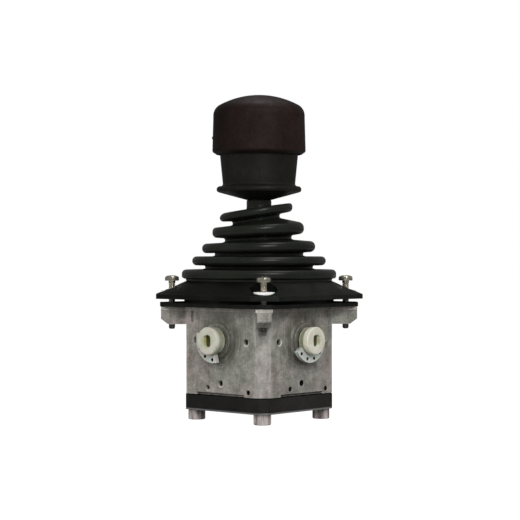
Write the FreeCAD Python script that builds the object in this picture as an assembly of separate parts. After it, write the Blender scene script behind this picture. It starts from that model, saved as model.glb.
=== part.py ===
import FreeCAD, Part
import math
import os

from FreeCAD import Placement, Rotation, Vector

# Two-axis joystick controller for a control panel, in millimetres.
# +Z points up along the upright lever. z = 0 is the top of the gasket plate, where the panel rests.
# The +X and -Y faces of the housing each carry a sensor hub.
# Tilting the lever sideways turns the bow, and tilting it fore and aft turns the gimbal frame.

# Lever travel
tilt_limit = 25.0
sleeve_travel = 8.0

# Clearances
running_gap = 0.05
assembly_gap = 0.05
soft_gap = 0.3
turning_gap = 0.4
sleeve_gap = 0.4
edge_tolerance = 0.01

# Panel, gasket plate and panel screws
panel_gap = 2.0
gasket_margin = 8.1
gasket_hole_wall = 4.7504
gasket_thickness = 2.5
panel_opening_radius = 30.0
screw_spacing = 72.2
panel_screw_radius = 2.0
panel_screw_length = 28.2
panel_head_radius = 4.1
panel_head_height = 3.1
panel_head_lift = 12.5
head_side_share = 0.5
head_shoulder_share = 0.8
head_shoulder_drop = 0.37
head_crown_share = 0.4
cross_recess_width = 1.1
cross_recess_length = 4.6
cross_recess_depth = 1.8
screw_hole_radius = 2.25

# Clamp flange over the panel
flange_margin = 12.0
flange_edge = 2.7
flange_height = 10.2
flange_neck_wall = 4.6
spigot_overhang = 0.8
counterbore_radius = 7.7
counterbore_gap = 0.2531
counterbore_wall = 1.6338
counterbore_floor = 2.9
washer_radius = 6.2
washer_bore_radius = 2.2
washer_thickness = 2.0

# Housing
housing_width = 66.5
housing_corner = 6.2
housing_height = 50.6
housing_wall = 4.3
housing_roof = 4.0
housing_mouth_radius = 24.0
rim_height = 2.2
rim_overhang = 0.8
relief_height = 1.5
relief_depth = 2.0
relief_length = 37.0
ear_margin = 6.4469
ear_width = 7.9
ear_height = 10.4
ear_bevel = 4.1
ear_bevel_height = 3.2
ear_panel_border = 1.1
ear_panel_depth = 0.4
ear_relief_height = 5.4
ear_relief_depth = 1.2
ear_relief_inset = 1.1
ear_relief_taper = 0.9
pocket_width = 3.5
pocket_height = 7.0
pocket_depth = 1.2
pocket_offset = 5.6
pivot_depth = 21.4

# Bosses, face pads and tapped holes on the housing's faces
pad_radius = 15.4
pad_height = 0.35
boss_radius = 9.8
boss_height = 3.15
boss_fillet = 0.9
module_hole_radius = 1.65
module_hole_spacing = 39.6
module_hole_drop = 0.5
foot_hole_drop = 24.7
small_hole_radius = 1.25
small_hole_left = 10.0
small_hole_left_drop = 27.6
small_hole_right = 21.5
small_hole_right_drop = 28.9
tapped_hole_depth = 3.7
small_hole_depth = 3.0
hole_countersink = 0.5

# Base
base_seal_thickness = 0.6
base_width = 64.4
base_corner = 3.7
base_thickness = 7.9
base_pocket_radius = 20.0
base_pocket_depth = 5.2
base_plate_thickness = 1.0
base_screw_inset = 4.4
base_screw_radius = 3.0
base_screw_grip = 10.5
thread_runout = 2.0
base_head_radius = 5.0
base_head_height = 6.0
base_head_bevel = 0.5
socket_across_flats = 5.0
socket_depth = 3.0
base_hole_radius = 3.3
post_radius = 6.0

# Bearings and trunnions
journal_radius = 4.0
bush_wall = 1.55
bush_flange_radius = 7.2
bush_flange_thickness = 1.0
seal_radius = 7.2
seal_thickness = 1.8
collar_radius = 5.3
drive_radius = 3.5
drive_across_flats = 5.0
drive_end_depth = 2.2
short_journal_inset = 0.6

# Sensor hubs
hub_radius = 7.9
hub_disc_thickness = 4.4
hub_bevel = 0.5
hub_plate_thickness = 1.1
hub_groove_width = 0.5
hub_groove_depth = 0.6
hub_neck_inset = 0.3
hub_neck_length = 0.3
hub_barrel_radius = 6.3
hub_barrel_length = 0.4
sector_radius = 12.7
sector_half_angle = 62.0
sector_hole_radius = 0.85
sector_hole_ring = 10.7
sector_hole_pitch = 32.0
sector_hole_count = 4
gimbal_sector_angle = -90.0
bow_sector_angle = -138.0

# Gimbal frame and pivot
frame_length = 31.0
frame_width = 27.0
frame_wall = 4.5
frame_height = 10.0
frame_corner = 3.0
swivel_length = 13.0
swivel_height = 13.0
swivel_bevel = 2.0
pivot_pin_radius = 2.5

# Slotted bow
bow_spring_gap = 0.3
bow_thickness = 4.0
bow_width = 17.0
bow_slot_gap = 0.8
bow_slot_spare_angle = 1.5
bow_eye_radius = 8.2

# Centring springs and their tabs
spring_radius = 6.6
spring_wire = 1.2
spring_pitch = 1.4
spring_turns = 2
spring_end_gap = 0.3
tab_gap = 0.15
moving_tab_bottom = 7.6
moving_tab_top = 9.4
fixed_tab_bottom = 11.4
fixed_tab_top = 13.4

# Lever tube, lock rod and detent
tube_radius = 5.0
tube_bore_radius = 2.6
tube_tail_overhang = 1.5
lock_rod_radius = 2.2
lock_rod_overhang = 2.1
cross_pin_radius = 1.5
cross_pin_length = 18.0
detent_radius = 5.0
detent_gap = 0.8
detent_dimple_radius = 3.0
detent_dimple_depth = 2.0

# Finger sleeve
sleeve_bottom_height = 59.8
sleeve_foot_radius = 7.3
finger_flange_reach = 3.75
sleeve_cone_depth = 4.1
finger_flange_thickness = 4.1
finger_flange_bluntness = 0.3
sleeve_low_radius = 21.15
sleeve_flare = 1.75
sleeve_shoulder_height = 86.0
sleeve_headroom = 2.5
sleeve_wall = 2.25
sleeve_floor_rise = 4.0
cross_pin_rise = 0.5
sleeve_spring_radius = 7.8
sleeve_spring_wire = 1.2
sleeve_spring_turns = 5

# Knob cap and core
cap_rim_height = 86.3
cap_skirt_wall = 2.8
cap_rim_round = 1.4
cap_shoulder_drop = 12.8
cap_skirt_draft = 0.55
cap_dome_radius = 48.8
cap_top_height = 121.3
cap_shoulder_round = 7.0
cap_sleeve_gap = 1.7
cap_crown = 9.8
core_radius = 9.0
core_flange_radius = 15.5
core_flange_thickness = 4.0
core_length = 14.0
tube_engagement = 11.0

# Bellows: each fold is a bead (tip radius, height, thickness, tilt) over a groove (radius, height).
# level_fold is the first fold that the slump doesn't reach. The lowest bead overhangs the flange's top.
bellows_wall = 1.6
bellows_collar_radius = 7.3
bellows_collar_foot = 56.2
bellows_tip_round = 1.5
bellows_tip_share = 0.33
bellows_foot_gap = 0.3
bellows_foot_wall = 1.5
bellows_foot_inset = 1.0
slump_azimuth = 42.0
slump_shift = -1.7
beads = [
    (21.0, 52.6, 4.4, 9.0),
    (26.9, 41.9, 5.9, 2.6),
    (33.2, 31.8, 5.9, 1.1),
    (39.2, 24.1, 5.3, 0.0),
]
lowest_bead_overhang = 2.2
lowest_bead_height = 16.5
lowest_bead_thickness = 5.0
grooves = [(14.0, 48.2), (19.6, 36.9), (26.0, 27.7), (31.6, 20.2)]
bellows_seat_inset = 0.2
level_fold = 3

# Cap and finger sleeve, one inside the other
finger_flange_low_height = sleeve_bottom_height + sleeve_cone_depth
finger_flange_high_height = finger_flange_low_height + finger_flange_thickness
sleeve_floor_height = finger_flange_high_height + sleeve_floor_rise
cross_pin_height = finger_flange_high_height + cross_pin_rise
finger_flange_radius = sleeve_low_radius + finger_flange_reach
sleeve_high_radius = sleeve_low_radius + sleeve_flare
sleeve_inner_radius = sleeve_low_radius - sleeve_wall
cap_inner_radius = sleeve_high_radius + cap_sleeve_gap
cap_rim_radius = cap_inner_radius + cap_skirt_wall
cap_shoulder_radius = cap_rim_radius - cap_skirt_draft
cap_shoulder_height = cap_top_height - cap_shoulder_drop
cap_ceiling_height = cap_top_height - cap_crown
sleeve_top_height = cap_ceiling_height - sleeve_travel - sleeve_headroom

# Flange, plate, ears and bellows as the panel screws place them
screw_circle = screw_spacing / math.sqrt(2)
gasket_width = screw_spacing + 2 * gasket_margin
gasket_corner = 2 * gasket_margin - math.sqrt(2) * (screw_hole_radius + gasket_hole_wall)
flange_width = screw_spacing + 2 * flange_margin
flange_corner = 2 * flange_margin - math.sqrt(2) * (counterbore_radius + counterbore_wall)
flange_top_radius = screw_circle - counterbore_radius - counterbore_gap
flange_bore_radius = flange_top_radius - flange_neck_wall
spigot_radius = flange_top_radius + spigot_overhang
ear_reach = screw_circle + ear_margin
bellows_seat_radius = flange_top_radius - bellows_seat_inset
beads.append((flange_top_radius + lowest_bead_overhang, lowest_bead_height, lowest_bead_thickness, 0.0))

# Heights that follow from the sizes above
housing_top = -gasket_thickness
housing_bottom = housing_top - housing_height
roof_bottom = housing_top - housing_roof
pivot_z = -pivot_depth
cavity_half = housing_width / 2 - housing_wall
base_top = housing_bottom - base_seal_thickness
base_bottom = base_top - base_thickness
plate_bottom = base_bottom - base_plate_thickness
flange_bottom = panel_gap
flange_top = flange_bottom + flange_height
bellows_seat = flange_top + bellows_foot_gap
head_underside = panel_head_lift
screw_tip = head_underside - panel_screw_length
core_bottom = cap_ceiling_height - core_length
tube_top = core_bottom + tube_engagement
seal_width = min(housing_width, base_width) - 2 * relief_depth
base_screw_spacing = seal_width - 2 * base_screw_inset

# Distances outward from the lever's axis along a hub's axis
bush_outer_radius = journal_radius + running_gap + bush_wall
face = housing_width / 2
boss_face = face + boss_height
seal_start = boss_face - seal_thickness - 2 * assembly_gap
bush_start = cavity_half - bush_flange_thickness
collar_end = bush_start - 3 * running_gap
hub_back = boss_face + turning_gap
sector_back = hub_back + hub_barrel_length
sector_thickness = 2 * hub_plate_thickness + hub_groove_width
disc_back = sector_back + sector_thickness
hub_front = disc_back + hub_disc_thickness
drive_end = hub_front - drive_end_depth
tab_half = spring_radius - spring_wire / 2 - tab_gap
spring_end = collar_end - spring_end_gap - spring_wire / 2
spring_start = spring_end - (spring_turns + 0.5) * spring_pitch
bow_outer = spring_start - spring_wire / 2 - bow_spring_gap
bow_inner_radius = bow_outer - bow_thickness
tail_end = pivot_z - bow_outer - tube_tail_overhang
lock_rod_tip = tail_end - lock_rod_overhang

RIGHT_FACE = 0
FRONT_FACE = -90
BACK_FACE = 90
LEFT_FACE = 180
UP = Vector(0, 0, 1)


def cylinder(radius, low, high, x=0.0, y=0.0):
    """A round bar along Z."""
    return Part.makeCylinder(radius, high - low, Vector(x, y, low))


def box(x_low, x_high, y_low, y_high, z_low, z_high):
    """A block between two corners."""
    return Part.makeBox(x_high - x_low, y_high - y_low, z_high - z_low, Vector(x_low, y_low, z_low))


def ring(outer, inner, low, high, x=0.0, y=0.0):
    """A round tube along Z."""
    return cylinder(outer, low, high, x, y).cut(cylinder(inner, low, high, x, y))


def revolved(points):
    """A solid of revolution about Z from its (radius, height) outline."""
    corners = [Vector(radius, 0, height) for radius, height in points]
    outline = Part.makePolygon(corners + corners[:1])
    return Part.Face(outline).revolve(Vector(0, 0, 0), UP, 360)


def cut_square(width, corner, low, high):
    """A square plate with its four corners cut off; corner is the length cut from each side."""
    half = width / 2
    inner = half - corner
    points = []
    for quarter in range(4):
        turn = Rotation(UP, 90 * quarter)
        points.append(turn.multVec(Vector(half, inner, low)))
        points.append(turn.multVec(Vector(inner, half, low)))
    outline = Part.makePolygon(points + points[:1])
    return Part.Face(outline).extrude(Vector(0, 0, high - low))


def at_corners(spacing, make):
    """One copy of make(x, y) at each corner of a square."""
    half = spacing / 2
    return [make(x, y) for x in (-half, half) for y in (-half, half)]


def fused(shapes):
    """The shapes joined into one, without leftover seams."""
    first = shapes[0]
    rest = list(shapes[1:])
    whole = first.fuse(rest) if rest else first
    return whole.removeSplitter()


def on_face(shape, turn):
    """Moves a shape from a hub's own frame (right, up, outward) to the housing face that turn names."""
    upright = Placement(Vector(0, 0, pivot_z), Rotation(Vector(0, 1, 0), UP, Vector(1, 0, 0), "ZXY"))
    moved = shape.copy()
    moved.Placement = Placement(Vector(0, 0, 0), Rotation(UP, turn)).multiply(upright)
    return moved


def square_coil(radius, wire, pitch, turns):
    """A coil of square wire round Z, starting at height 0 and at angle 0, wound anticlockwise upward."""
    path = Part.makeHelix(pitch, pitch * turns, radius)
    half = wire / 2
    corners = [
        Vector(radius - half, 0, -half),
        Vector(radius + half, 0, -half),
        Vector(radius + half, 0, half),
        Vector(radius - half, 0, half),
    ]
    section = Part.makePolygon(corners + corners[:1])
    return Part.Wire(path.Edges).makePipeShell([section], True, True)


# Housing


def ear():
    """One screw ear along +X: a deep narrow arm with a lip on top, a bevel below and a sunk end panel."""
    start = housing_width / 2
    top = housing_top
    low = housing_top - ear_height
    half = ear_width / 2
    points = [
        Vector(start, -ear_width / 2, top),
        Vector(ear_reach, -ear_width / 2, top),
        Vector(ear_reach, -ear_width / 2, low + ear_bevel_height),
        Vector(ear_reach - ear_bevel, -ear_width / 2, low),
        Vector(start, -ear_width / 2, low),
    ]
    arm = Part.Face(Part.makePolygon(points + points[:1])).extrude(Vector(0, ear_width, 0))
    lip = box(start, ear_reach, -half - rim_overhang, half + rim_overhang, top - rim_height, top)
    inner = half - ear_panel_border
    panel = box(ear_reach - ear_panel_depth, ear_reach, -inner, inner,
                low + ear_bevel_height + ear_panel_border, top - rim_height)
    return arm.fuse(lip).cut(panel)


def ear_relief():
    """The shallow recess in the corner under an ear along +X, narrower below, beside the screw's tip."""
    corner_face = (housing_width - housing_corner) / math.sqrt(2)
    start = corner_face - ear_relief_depth
    top = housing_top - ear_height
    wide = ear_width / 2 - ear_relief_inset
    narrow = wide - ear_relief_taper
    points = [
        Vector(start, -wide, top), Vector(start, wide, top),
        Vector(start, narrow, top - ear_relief_height), Vector(start, -narrow, top - ear_relief_height),
    ]
    return Part.Face(Part.makePolygon(points + points[:1])).extrude(Vector(2 * ear_relief_depth, 0, 0))


def face_features():
    """The pad, boss and fixed spring tab of one face, in a hub's own frame."""
    roof = housing_top - rim_height - pivot_z
    pad = fused([
        cylinder(pad_radius, face - housing_wall / 2, face + pad_height),
        box(-pad_radius, pad_radius, 0, roof, face - housing_wall / 2, face + pad_height),
    ])
    boss = cylinder(boss_radius, face - housing_wall / 2, boss_face)
    root = Part.makeCone(boss_radius + boss_fillet, boss_radius, boss_fillet, Vector(0, 0, face + pad_height))
    return fused([pad, boss, root])


def tapped_hole(radius, depth, x, y):
    """A blind hole with a countersunk mouth, cut into a face from outside."""
    hole = cylinder(radius, face - depth, face + 1, x, y)
    mouth = Part.makeCone(radius, radius + hole_countersink + 1, hole_countersink + 1,
                          Vector(x, y, face - hole_countersink))
    return [hole, mouth]


def sensor_holes():
    """The tapped holes of a face that carries a sensor hub."""
    cuts = []
    for x in (-module_hole_spacing / 2, module_hole_spacing / 2):
        cuts += tapped_hole(module_hole_radius, tapped_hole_depth, x, -module_hole_drop)
    cuts += tapped_hole(module_hole_radius, tapped_hole_depth, 0, -foot_hole_drop)
    cuts += tapped_hole(small_hole_radius, small_hole_depth, -small_hole_left, -small_hole_left_drop)
    cuts += tapped_hole(small_hole_radius, small_hole_depth, small_hole_right, -small_hole_right_drop)
    return cuts


def bearing_bores():
    """The bush bore and seal recess of one boss."""
    return [
        cylinder(bush_outer_radius + assembly_gap, 0, boss_face + 1),
        cylinder(seal_radius + assembly_gap, seal_start, boss_face + 1),
    ]


def housing():
    """The die-cast housing, open above for the lever and below for the base."""
    body = cut_square(housing_width, housing_corner, housing_bottom, housing_top)
    rim = cut_square(housing_width + 2 * rim_overhang, housing_corner, housing_top - rim_height, housing_top)
    ears = [ear().rotate(Vector(0, 0, 0), UP, 45 + 90 * quarter) for quarter in range(4)]
    faces = [on_face(face_features(), turn) for turn in (RIGHT_FACE, FRONT_FACE, BACK_FACE, LEFT_FACE)]
    solid = fused([body, rim] + ears + faces)

    half = cavity_half
    cavity = box(-half, half, -half, half, housing_bottom, roof_bottom)
    posts = at_corners(base_screw_spacing,
                       lambda x, y: cylinder(post_radius, housing_bottom, roof_bottom, x, y))
    mouth = cylinder(housing_mouth_radius, roof_bottom, housing_top)
    solid = solid.cut(cavity.cut(posts))
    tab = fixed_spring_tab()
    solid = fused([solid, on_face(tab, RIGHT_FACE), on_face(tab, FRONT_FACE)])

    cuts = [mouth]
    ear_bottom = housing_top - ear_height
    ear_thread = panel_screw_radius + running_gap
    base_thread = base_screw_radius + running_gap
    thread_end = housing_bottom + base_screw_grip + thread_runout
    cuts += at_corners(screw_spacing, lambda x, y: cylinder(ear_thread, ear_bottom, housing_top, x, y))
    cuts += at_corners(base_screw_spacing,
                       lambda x, y: cylinder(base_thread, housing_bottom, thread_end, x, y))
    for turn in (RIGHT_FACE, FRONT_FACE, BACK_FACE, LEFT_FACE):
        cuts += [on_face(cut, turn) for cut in bearing_bores() + [edge_relief()]]
    cuts += [ear_relief().rotate(Vector(0, 0, 0), UP, 45 + 90 * quarter) for quarter in range(4)]
    cuts.append(on_face(side_pocket(), FRONT_FACE))
    for turn in (RIGHT_FACE, FRONT_FACE):
        cuts += [on_face(cut, turn) for cut in sensor_holes()]
    return solid.cut(cuts)


def edge_relief():
    """The shallow step along the bottom edge of one face, between the corner pads."""
    low = housing_bottom - pivot_z
    return box(-relief_length / 2, relief_length / 2, low, low + relief_height, face - relief_depth, face)


def side_pocket():
    """The small upright pocket at the left end of one face, in a hub's own frame."""
    top = housing_top - rim_height - pivot_z
    side = -(housing_width / 2 - housing_corner - pocket_offset)
    half = pocket_width / 2
    return box(side - half, side + half, top - pocket_height, top, face - pocket_depth, face)


# Parts round the two hub axes, in a hub's own frame


def fixed_spring_tab():
    """The tab on the housing wall that both legs of a centring spring rest against."""
    inner = spring_start - spring_wire / 2
    return box(-tab_half, tab_half, fixed_tab_bottom, fixed_tab_top, inner, cavity_half)


def moving_spring_tab(start):
    """The tab that turns with a trunnion, from its carrier at start, between the legs of the spring."""
    return box(-tab_half, tab_half, moving_tab_bottom, moving_tab_top, start, collar_end - soft_gap)


def centring_spring():
    """A torsion spring whose two legs stand upright on each side of the tabs."""
    coil = square_coil(spring_radius, spring_wire, spring_pitch, spring_turns + 0.5)
    coil.translate(Vector(0, 0, spring_start))
    clockwise = coil.mirror(Vector(0, 0, spring_start), Vector(0, 1, 0))
    half = spring_wire / 2
    legs = []
    for x, level in ((spring_radius, spring_start), (-spring_radius, spring_end)):
        legs.append(box(x - half, x + half, 0, fixed_tab_top, level - half, level + half))
    return fused([clockwise] + legs)


def bush():
    """A flanged bearing bush, pressed in from inside the housing."""
    sleeve = cylinder(bush_outer_radius, cavity_half, seal_start)
    flange = cylinder(bush_flange_radius, bush_start, cavity_half)
    return fused([sleeve, flange]).cut(cylinder(journal_radius + running_gap, bush_start, seal_start))


def shaft_seal():
    """The rubber ring in the boss round a trunnion."""
    inner = journal_radius + soft_gap / 2
    return ring(seal_radius, inner, seal_start + assembly_gap, boss_face - assembly_gap)


def bearing_cap():
    """The plug that closes a boss with no hub."""
    return cylinder(seal_radius, seal_start + assembly_gap, boss_face - assembly_gap)


def double_flat(radius, across_flats, low, high):
    """A round bar with two flats that stand upright."""
    half = across_flats / 2
    return cylinder(radius, low, high).common(box(-half, half, -radius, radius, low, high))


def trunnion(start, root_end, long_side):
    """A trunnion pressed into its carrier from start to root_end, with a drive end on the hub's side."""
    root = cylinder(journal_radius, start, root_end)
    collar = cylinder(collar_radius, root_end, collar_end)
    if not long_side:
        return fused([root, collar, cylinder(journal_radius, collar_end, seal_start - short_journal_inset)])
    journal = cylinder(journal_radius, collar_end, hub_back)
    return fused([root, collar, journal, double_flat(drive_radius, drive_across_flats, hub_back, drive_end)])


def hub(sector_angle):
    """The cream hub: a bevelled disc in front of a two-ply sector plate with a row of holes."""
    barrel = cylinder(hub_barrel_radius, hub_back, sector_back)
    plies = []
    levels = (
        (sector_back, sector_back + hub_plate_thickness, 0),
        (sector_back + hub_plate_thickness, disc_back - hub_plate_thickness, hub_groove_depth),
        (disc_back - hub_plate_thickness, disc_back, 0),
    )
    for low, high, inset in levels:
        plies.append(cylinder(hub_radius - hub_neck_inset - inset, low, high))
        wedge = Part.makeCylinder(sector_radius - inset, high - low, Vector(0, 0, low), UP,
                                  2 * sector_half_angle)
        wedge.rotate(Vector(0, 0, 0), UP, sector_angle - sector_half_angle)
        plies.append(wedge)
    neck = hub_radius - hub_neck_inset
    rim = disc_back + hub_neck_length
    disc = revolved([
        (0, disc_back), (neck, disc_back), (neck, rim), (hub_radius, rim),
        (hub_radius, hub_front - hub_bevel), (hub_radius - hub_bevel, hub_front), (0, hub_front),
    ])
    across = drive_across_flats + 2 * assembly_gap
    cuts = [double_flat(drive_radius + assembly_gap, across, hub_back, hub_front)]
    for index in range(sector_hole_count):
        angle = math.radians(sector_angle + (index - (sector_hole_count - 1) / 2) * sector_hole_pitch)
        x = sector_hole_ring * math.cos(angle)
        y = sector_hole_ring * math.sin(angle)
        cuts.append(cylinder(sector_hole_radius, sector_back, disc_back, x, y))
    return fused([barrel, disc] + plies).cut(cuts)


# Gimbal frame, swivel block and bow


def rounded_block(length, width, height, corner):
    """A block centred on the pivot with its upright edges rounded."""
    block = box(-length / 2, length / 2, -width / 2, width / 2, pivot_z - height / 2, pivot_z + height / 2)
    upright = [edge for edge in block.Edges if abs(edge.tangentAt(edge.FirstParameter).z) > 0.99]
    return block.makeFillet(corner, upright)


def gimbal_frame():
    """The frame that turns about X and carries the lever's pivot pins."""
    outer = rounded_block(frame_length, frame_width, frame_height, frame_corner)
    window = box(-frame_length / 2 + frame_wall, frame_length / 2 - frame_wall,
                 -frame_width / 2 + frame_wall, frame_width / 2 - frame_wall,
                 pivot_z - frame_height, pivot_z + frame_height)
    start = frame_length / 2
    lug = box(-tab_half, tab_half, 0, moving_tab_top, start - frame_wall / 2, start)
    body = fused([outer, on_face(lug, RIGHT_FACE), on_face(moving_spring_tab(start), RIGHT_FACE)])
    cuts = [window]
    cuts += [on_face(cylinder(journal_radius + assembly_gap, 0, start), turn)
             for turn in (RIGHT_FACE, LEFT_FACE)]
    cuts += [on_face(cylinder(pivot_pin_radius + assembly_gap, 0, frame_width / 2), turn)
             for turn in (FRONT_FACE, BACK_FACE)]
    return body.cut(cuts)


def swivel_block():
    """The block on the lever tube that turns on the pivot pins."""
    width = frame_width - 2 * frame_wall - 2 * soft_gap
    half = swivel_length / 2
    low = pivot_z - swivel_height / 2
    high = pivot_z + swivel_height / 2
    block = box(-half, half, -width / 2, width / 2, low, high)
    lengthwise = [edge for edge in block.Edges if abs(edge.tangentAt(edge.FirstParameter).y) > 0.99]
    block = block.makeChamfer(swivel_bevel, lengthwise)
    pins = [on_face(cylinder(pivot_pin_radius + running_gap, 0, frame_width), turn)
            for turn in (FRONT_FACE, BACK_FACE)]
    return block.cut([cylinder(tube_radius + assembly_gap, low, high)] + pins)


def bow():
    """The half-round bow about Y, under the pivot, with the slot that the lever's tail runs in."""
    outer = bow_outer
    half = bow_width / 2
    hoop = Part.makeCylinder(outer, bow_width, Vector(-half, 0, pivot_z), Vector(1, 0, 0))
    hollow = Part.makeCylinder(bow_inner_radius, bow_width, Vector(-half, 0, pivot_z), Vector(1, 0, 0))
    upper = box(-half, half, -outer, outer, pivot_z, pivot_z + outer)
    arch = hoop.cut(hollow).cut(upper)
    eyes = []
    for turn in (FRONT_FACE, BACK_FACE):
        eyes.append(on_face(cylinder(bow_eye_radius, bow_inner_radius, outer), turn))
    lug = box(-tab_half, tab_half, 0, moving_tab_top, bow_inner_radius, outer)
    body = fused([arch] + eyes + [on_face(lug, FRONT_FACE), on_face(moving_spring_tab(outer), FRONT_FACE)])
    cuts = [bow_slot()]
    cuts += [on_face(cylinder(journal_radius + assembly_gap, 0, outer), turn)
             for turn in (FRONT_FACE, BACK_FACE)]
    return body.cut(cuts)


def bow_slot():
    """The slot through the bow, as wide as the tube and as long as its swing."""
    outer = bow_outer
    half_angle = tilt_limit + math.degrees(math.asin(tube_radius / bow_inner_radius)) + bow_slot_spare_angle
    half = tube_radius + bow_slot_gap
    axis = Vector(1, 0, 0)
    pivot = Vector(0, 0, pivot_z)
    sector = Part.makeCylinder(outer + 1, 2 * half, Vector(-half, 0, pivot_z), axis, 2 * half_angle)
    across = sector.CenterOfMass - pivot
    sector.rotate(pivot, axis, -90 - math.degrees(math.atan2(across.z, across.y)))
    return sector


def pivot_pin():
    """One of the two pins that carry the swivel block in the gimbal frame."""
    return cylinder(pivot_pin_radius, tube_radius + soft_gap, frame_width / 2)


# Lever, lock and detent


def lever_tube():
    """The lever's tube, slotted where the cross pin slides."""
    tube = ring(tube_radius, tube_bore_radius, tail_end, tube_top)
    width = cross_pin_radius + sleeve_gap / 2
    slot = box(-tube_radius, tube_radius, -width, width, cross_pin_height - width,
               cross_pin_height + sleeve_travel + width)
    return tube.cut(slot)


def lock_rod():
    """The rod inside the lever tube that the finger sleeve lifts by its cross pin."""
    top = cross_pin_height + 2 * cross_pin_radius
    rod = revolved([
        (0, lock_rod_tip), (lock_rod_radius / 2, lock_rod_tip),
        (lock_rod_radius, lock_rod_tip + lock_rod_radius), (lock_rod_radius, top), (0, top),
    ])
    return rod.cut(cross_pin(cross_pin_radius + assembly_gap))


def cross_pin(radius):
    """The pin through the finger sleeve, the tube's slot and the lock rod."""
    half = cross_pin_length / 2
    return Part.makeCylinder(radius, 2 * half, Vector(-half, 0, cross_pin_height), Vector(1, 0, 0))


def detent_post():
    """The post on the base cover with a dimple under the lock rod's tip."""
    top = lock_rod_tip - detent_gap
    floor = base_top - base_pocket_depth
    return revolved([
        (0, floor), (detent_radius, floor), (detent_radius, top), (detent_dimple_radius, top),
        (0, top - detent_dimple_depth),
    ])


# Knob


def finger_sleeve():
    """The sleeve that two fingers lift: a tapered cup with a finger flange and a shallow cone below."""
    middle = (finger_flange_low_height + finger_flange_high_height) / 2
    lip = (finger_flange_high_height - finger_flange_low_height) / 2
    blunt = lip * finger_flange_bluntness
    outline = [
        (0, sleeve_bottom_height), (sleeve_foot_radius, sleeve_bottom_height),
        (finger_flange_radius - lip, finger_flange_low_height),
        (finger_flange_radius - blunt, finger_flange_low_height + blunt),
        (finger_flange_radius, middle),
        (finger_flange_radius - blunt, finger_flange_high_height - blunt),
        (finger_flange_radius - lip, finger_flange_high_height),
        (sleeve_low_radius, finger_flange_high_height),
        (sleeve_high_radius, sleeve_shoulder_height), (sleeve_high_radius, sleeve_top_height),
        (0, sleeve_top_height),
    ]
    hollow = cylinder(sleeve_inner_radius, sleeve_floor_height, sleeve_top_height)
    bore = cylinder(tube_radius + sleeve_gap, sleeve_bottom_height, sleeve_floor_height)
    return revolved(outline).cut([hollow, bore, cross_pin(cross_pin_radius + assembly_gap)])


def sleeve_spring():
    """The spring that pushes the finger sleeve down from the knob core."""
    room = core_bottom - sleeve_floor_height - sleeve_spring_wire - 2 * soft_gap
    pitch = room / sleeve_spring_turns
    coil = square_coil(sleeve_spring_radius, sleeve_spring_wire, pitch, sleeve_spring_turns)
    coil.translate(Vector(0, 0, sleeve_floor_height + soft_gap + sleeve_spring_wire / 2))
    return coil


def knob_core():
    """The threaded core that the cap is pressed on."""
    flange_low = cap_ceiling_height - core_flange_thickness
    body = revolved([
        (0, core_bottom), (core_radius, core_bottom), (core_radius, flange_low),
        (core_flange_radius, flange_low), (core_flange_radius, cap_ceiling_height), (0, cap_ceiling_height),
    ])
    return body.cut(cylinder(tube_radius + assembly_gap, core_bottom, tube_top))


def knob_cap():
    """The knob's cap: a domed shell whose skirt covers the top of the finger sleeve."""
    skirt = revolved([
        (0, cap_rim_height), (cap_rim_radius, cap_rim_height), (cap_shoulder_radius, cap_shoulder_height),
        (cap_shoulder_radius, cap_top_height), (0, cap_top_height),
    ])
    dome = Part.makeSphere(cap_dome_radius, Vector(0, 0, cap_top_height - cap_dome_radius))
    body = skirt.common(dome)
    crown = [edge for edge in body.Edges if edge.BoundBox.ZMin > cap_shoulder_height + edge_tolerance
             and edge.BoundBox.ZLength < edge_tolerance]
    body = body.makeFillet(cap_shoulder_round, crown)
    brim = [edge for edge in body.Edges if abs(edge.BoundBox.ZMax - cap_rim_height) < edge_tolerance]
    body = body.makeFillet(cap_rim_round, brim)
    return body.cut(cylinder(cap_inner_radius, cap_rim_height, cap_ceiling_height))


# Flange, bellows and panel hardware


def top_circle_arcs(radius, height, angles):
    """A circle made of arcs between the given angles."""
    arcs = []
    for start, end in zip(angles, angles[1:] + [angles[0] + 360]):
        points = [
            Vector(radius * math.cos(math.radians(a)), radius * math.sin(math.radians(a)), height)
            for a in (start, (start + end) / 2, end)
        ]
        arcs.append(Part.Arc(*points).toShape())
    return Part.Wire(arcs)


def clamp_flange():
    """The clamp flange: a cut square that slopes up to a round top, with a screw well at each corner."""
    edge_top = flange_bottom + flange_edge
    plate = cut_square(flange_width, flange_corner, flange_bottom, edge_top)
    half = flange_width / 2
    inner = half - flange_corner
    corner_angle = math.degrees(math.atan2(inner, half))
    corners = []
    angles = []
    for quarter in range(4):
        turn = Rotation(UP, 90 * quarter)
        corners += [turn.multVec(Vector(half, inner, edge_top)), turn.multVec(Vector(inner, half, edge_top))]
        angles += [90 * quarter + corner_angle, 90 * quarter + 90 - corner_angle]
    square = Part.makePolygon(corners + corners[:1])
    circle = top_circle_arcs(flange_top_radius, flange_top, angles)
    slope = Part.makeLoft([square, circle], True, True)
    spigot = ring(spigot_radius, panel_opening_radius, 0, flange_bottom)
    well_floor = flange_bottom + counterbore_floor
    cuts = [cylinder(flange_bore_radius, flange_bottom, flange_top)]
    cuts += at_corners(screw_spacing, lambda x, y: cylinder(counterbore_radius, well_floor, flange_top, x, y))
    cuts += at_corners(screw_spacing, lambda x, y: cylinder(screw_hole_radius, 0, flange_top, x, y))
    return fused([plate, slope]).cut(cuts), spigot


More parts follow.
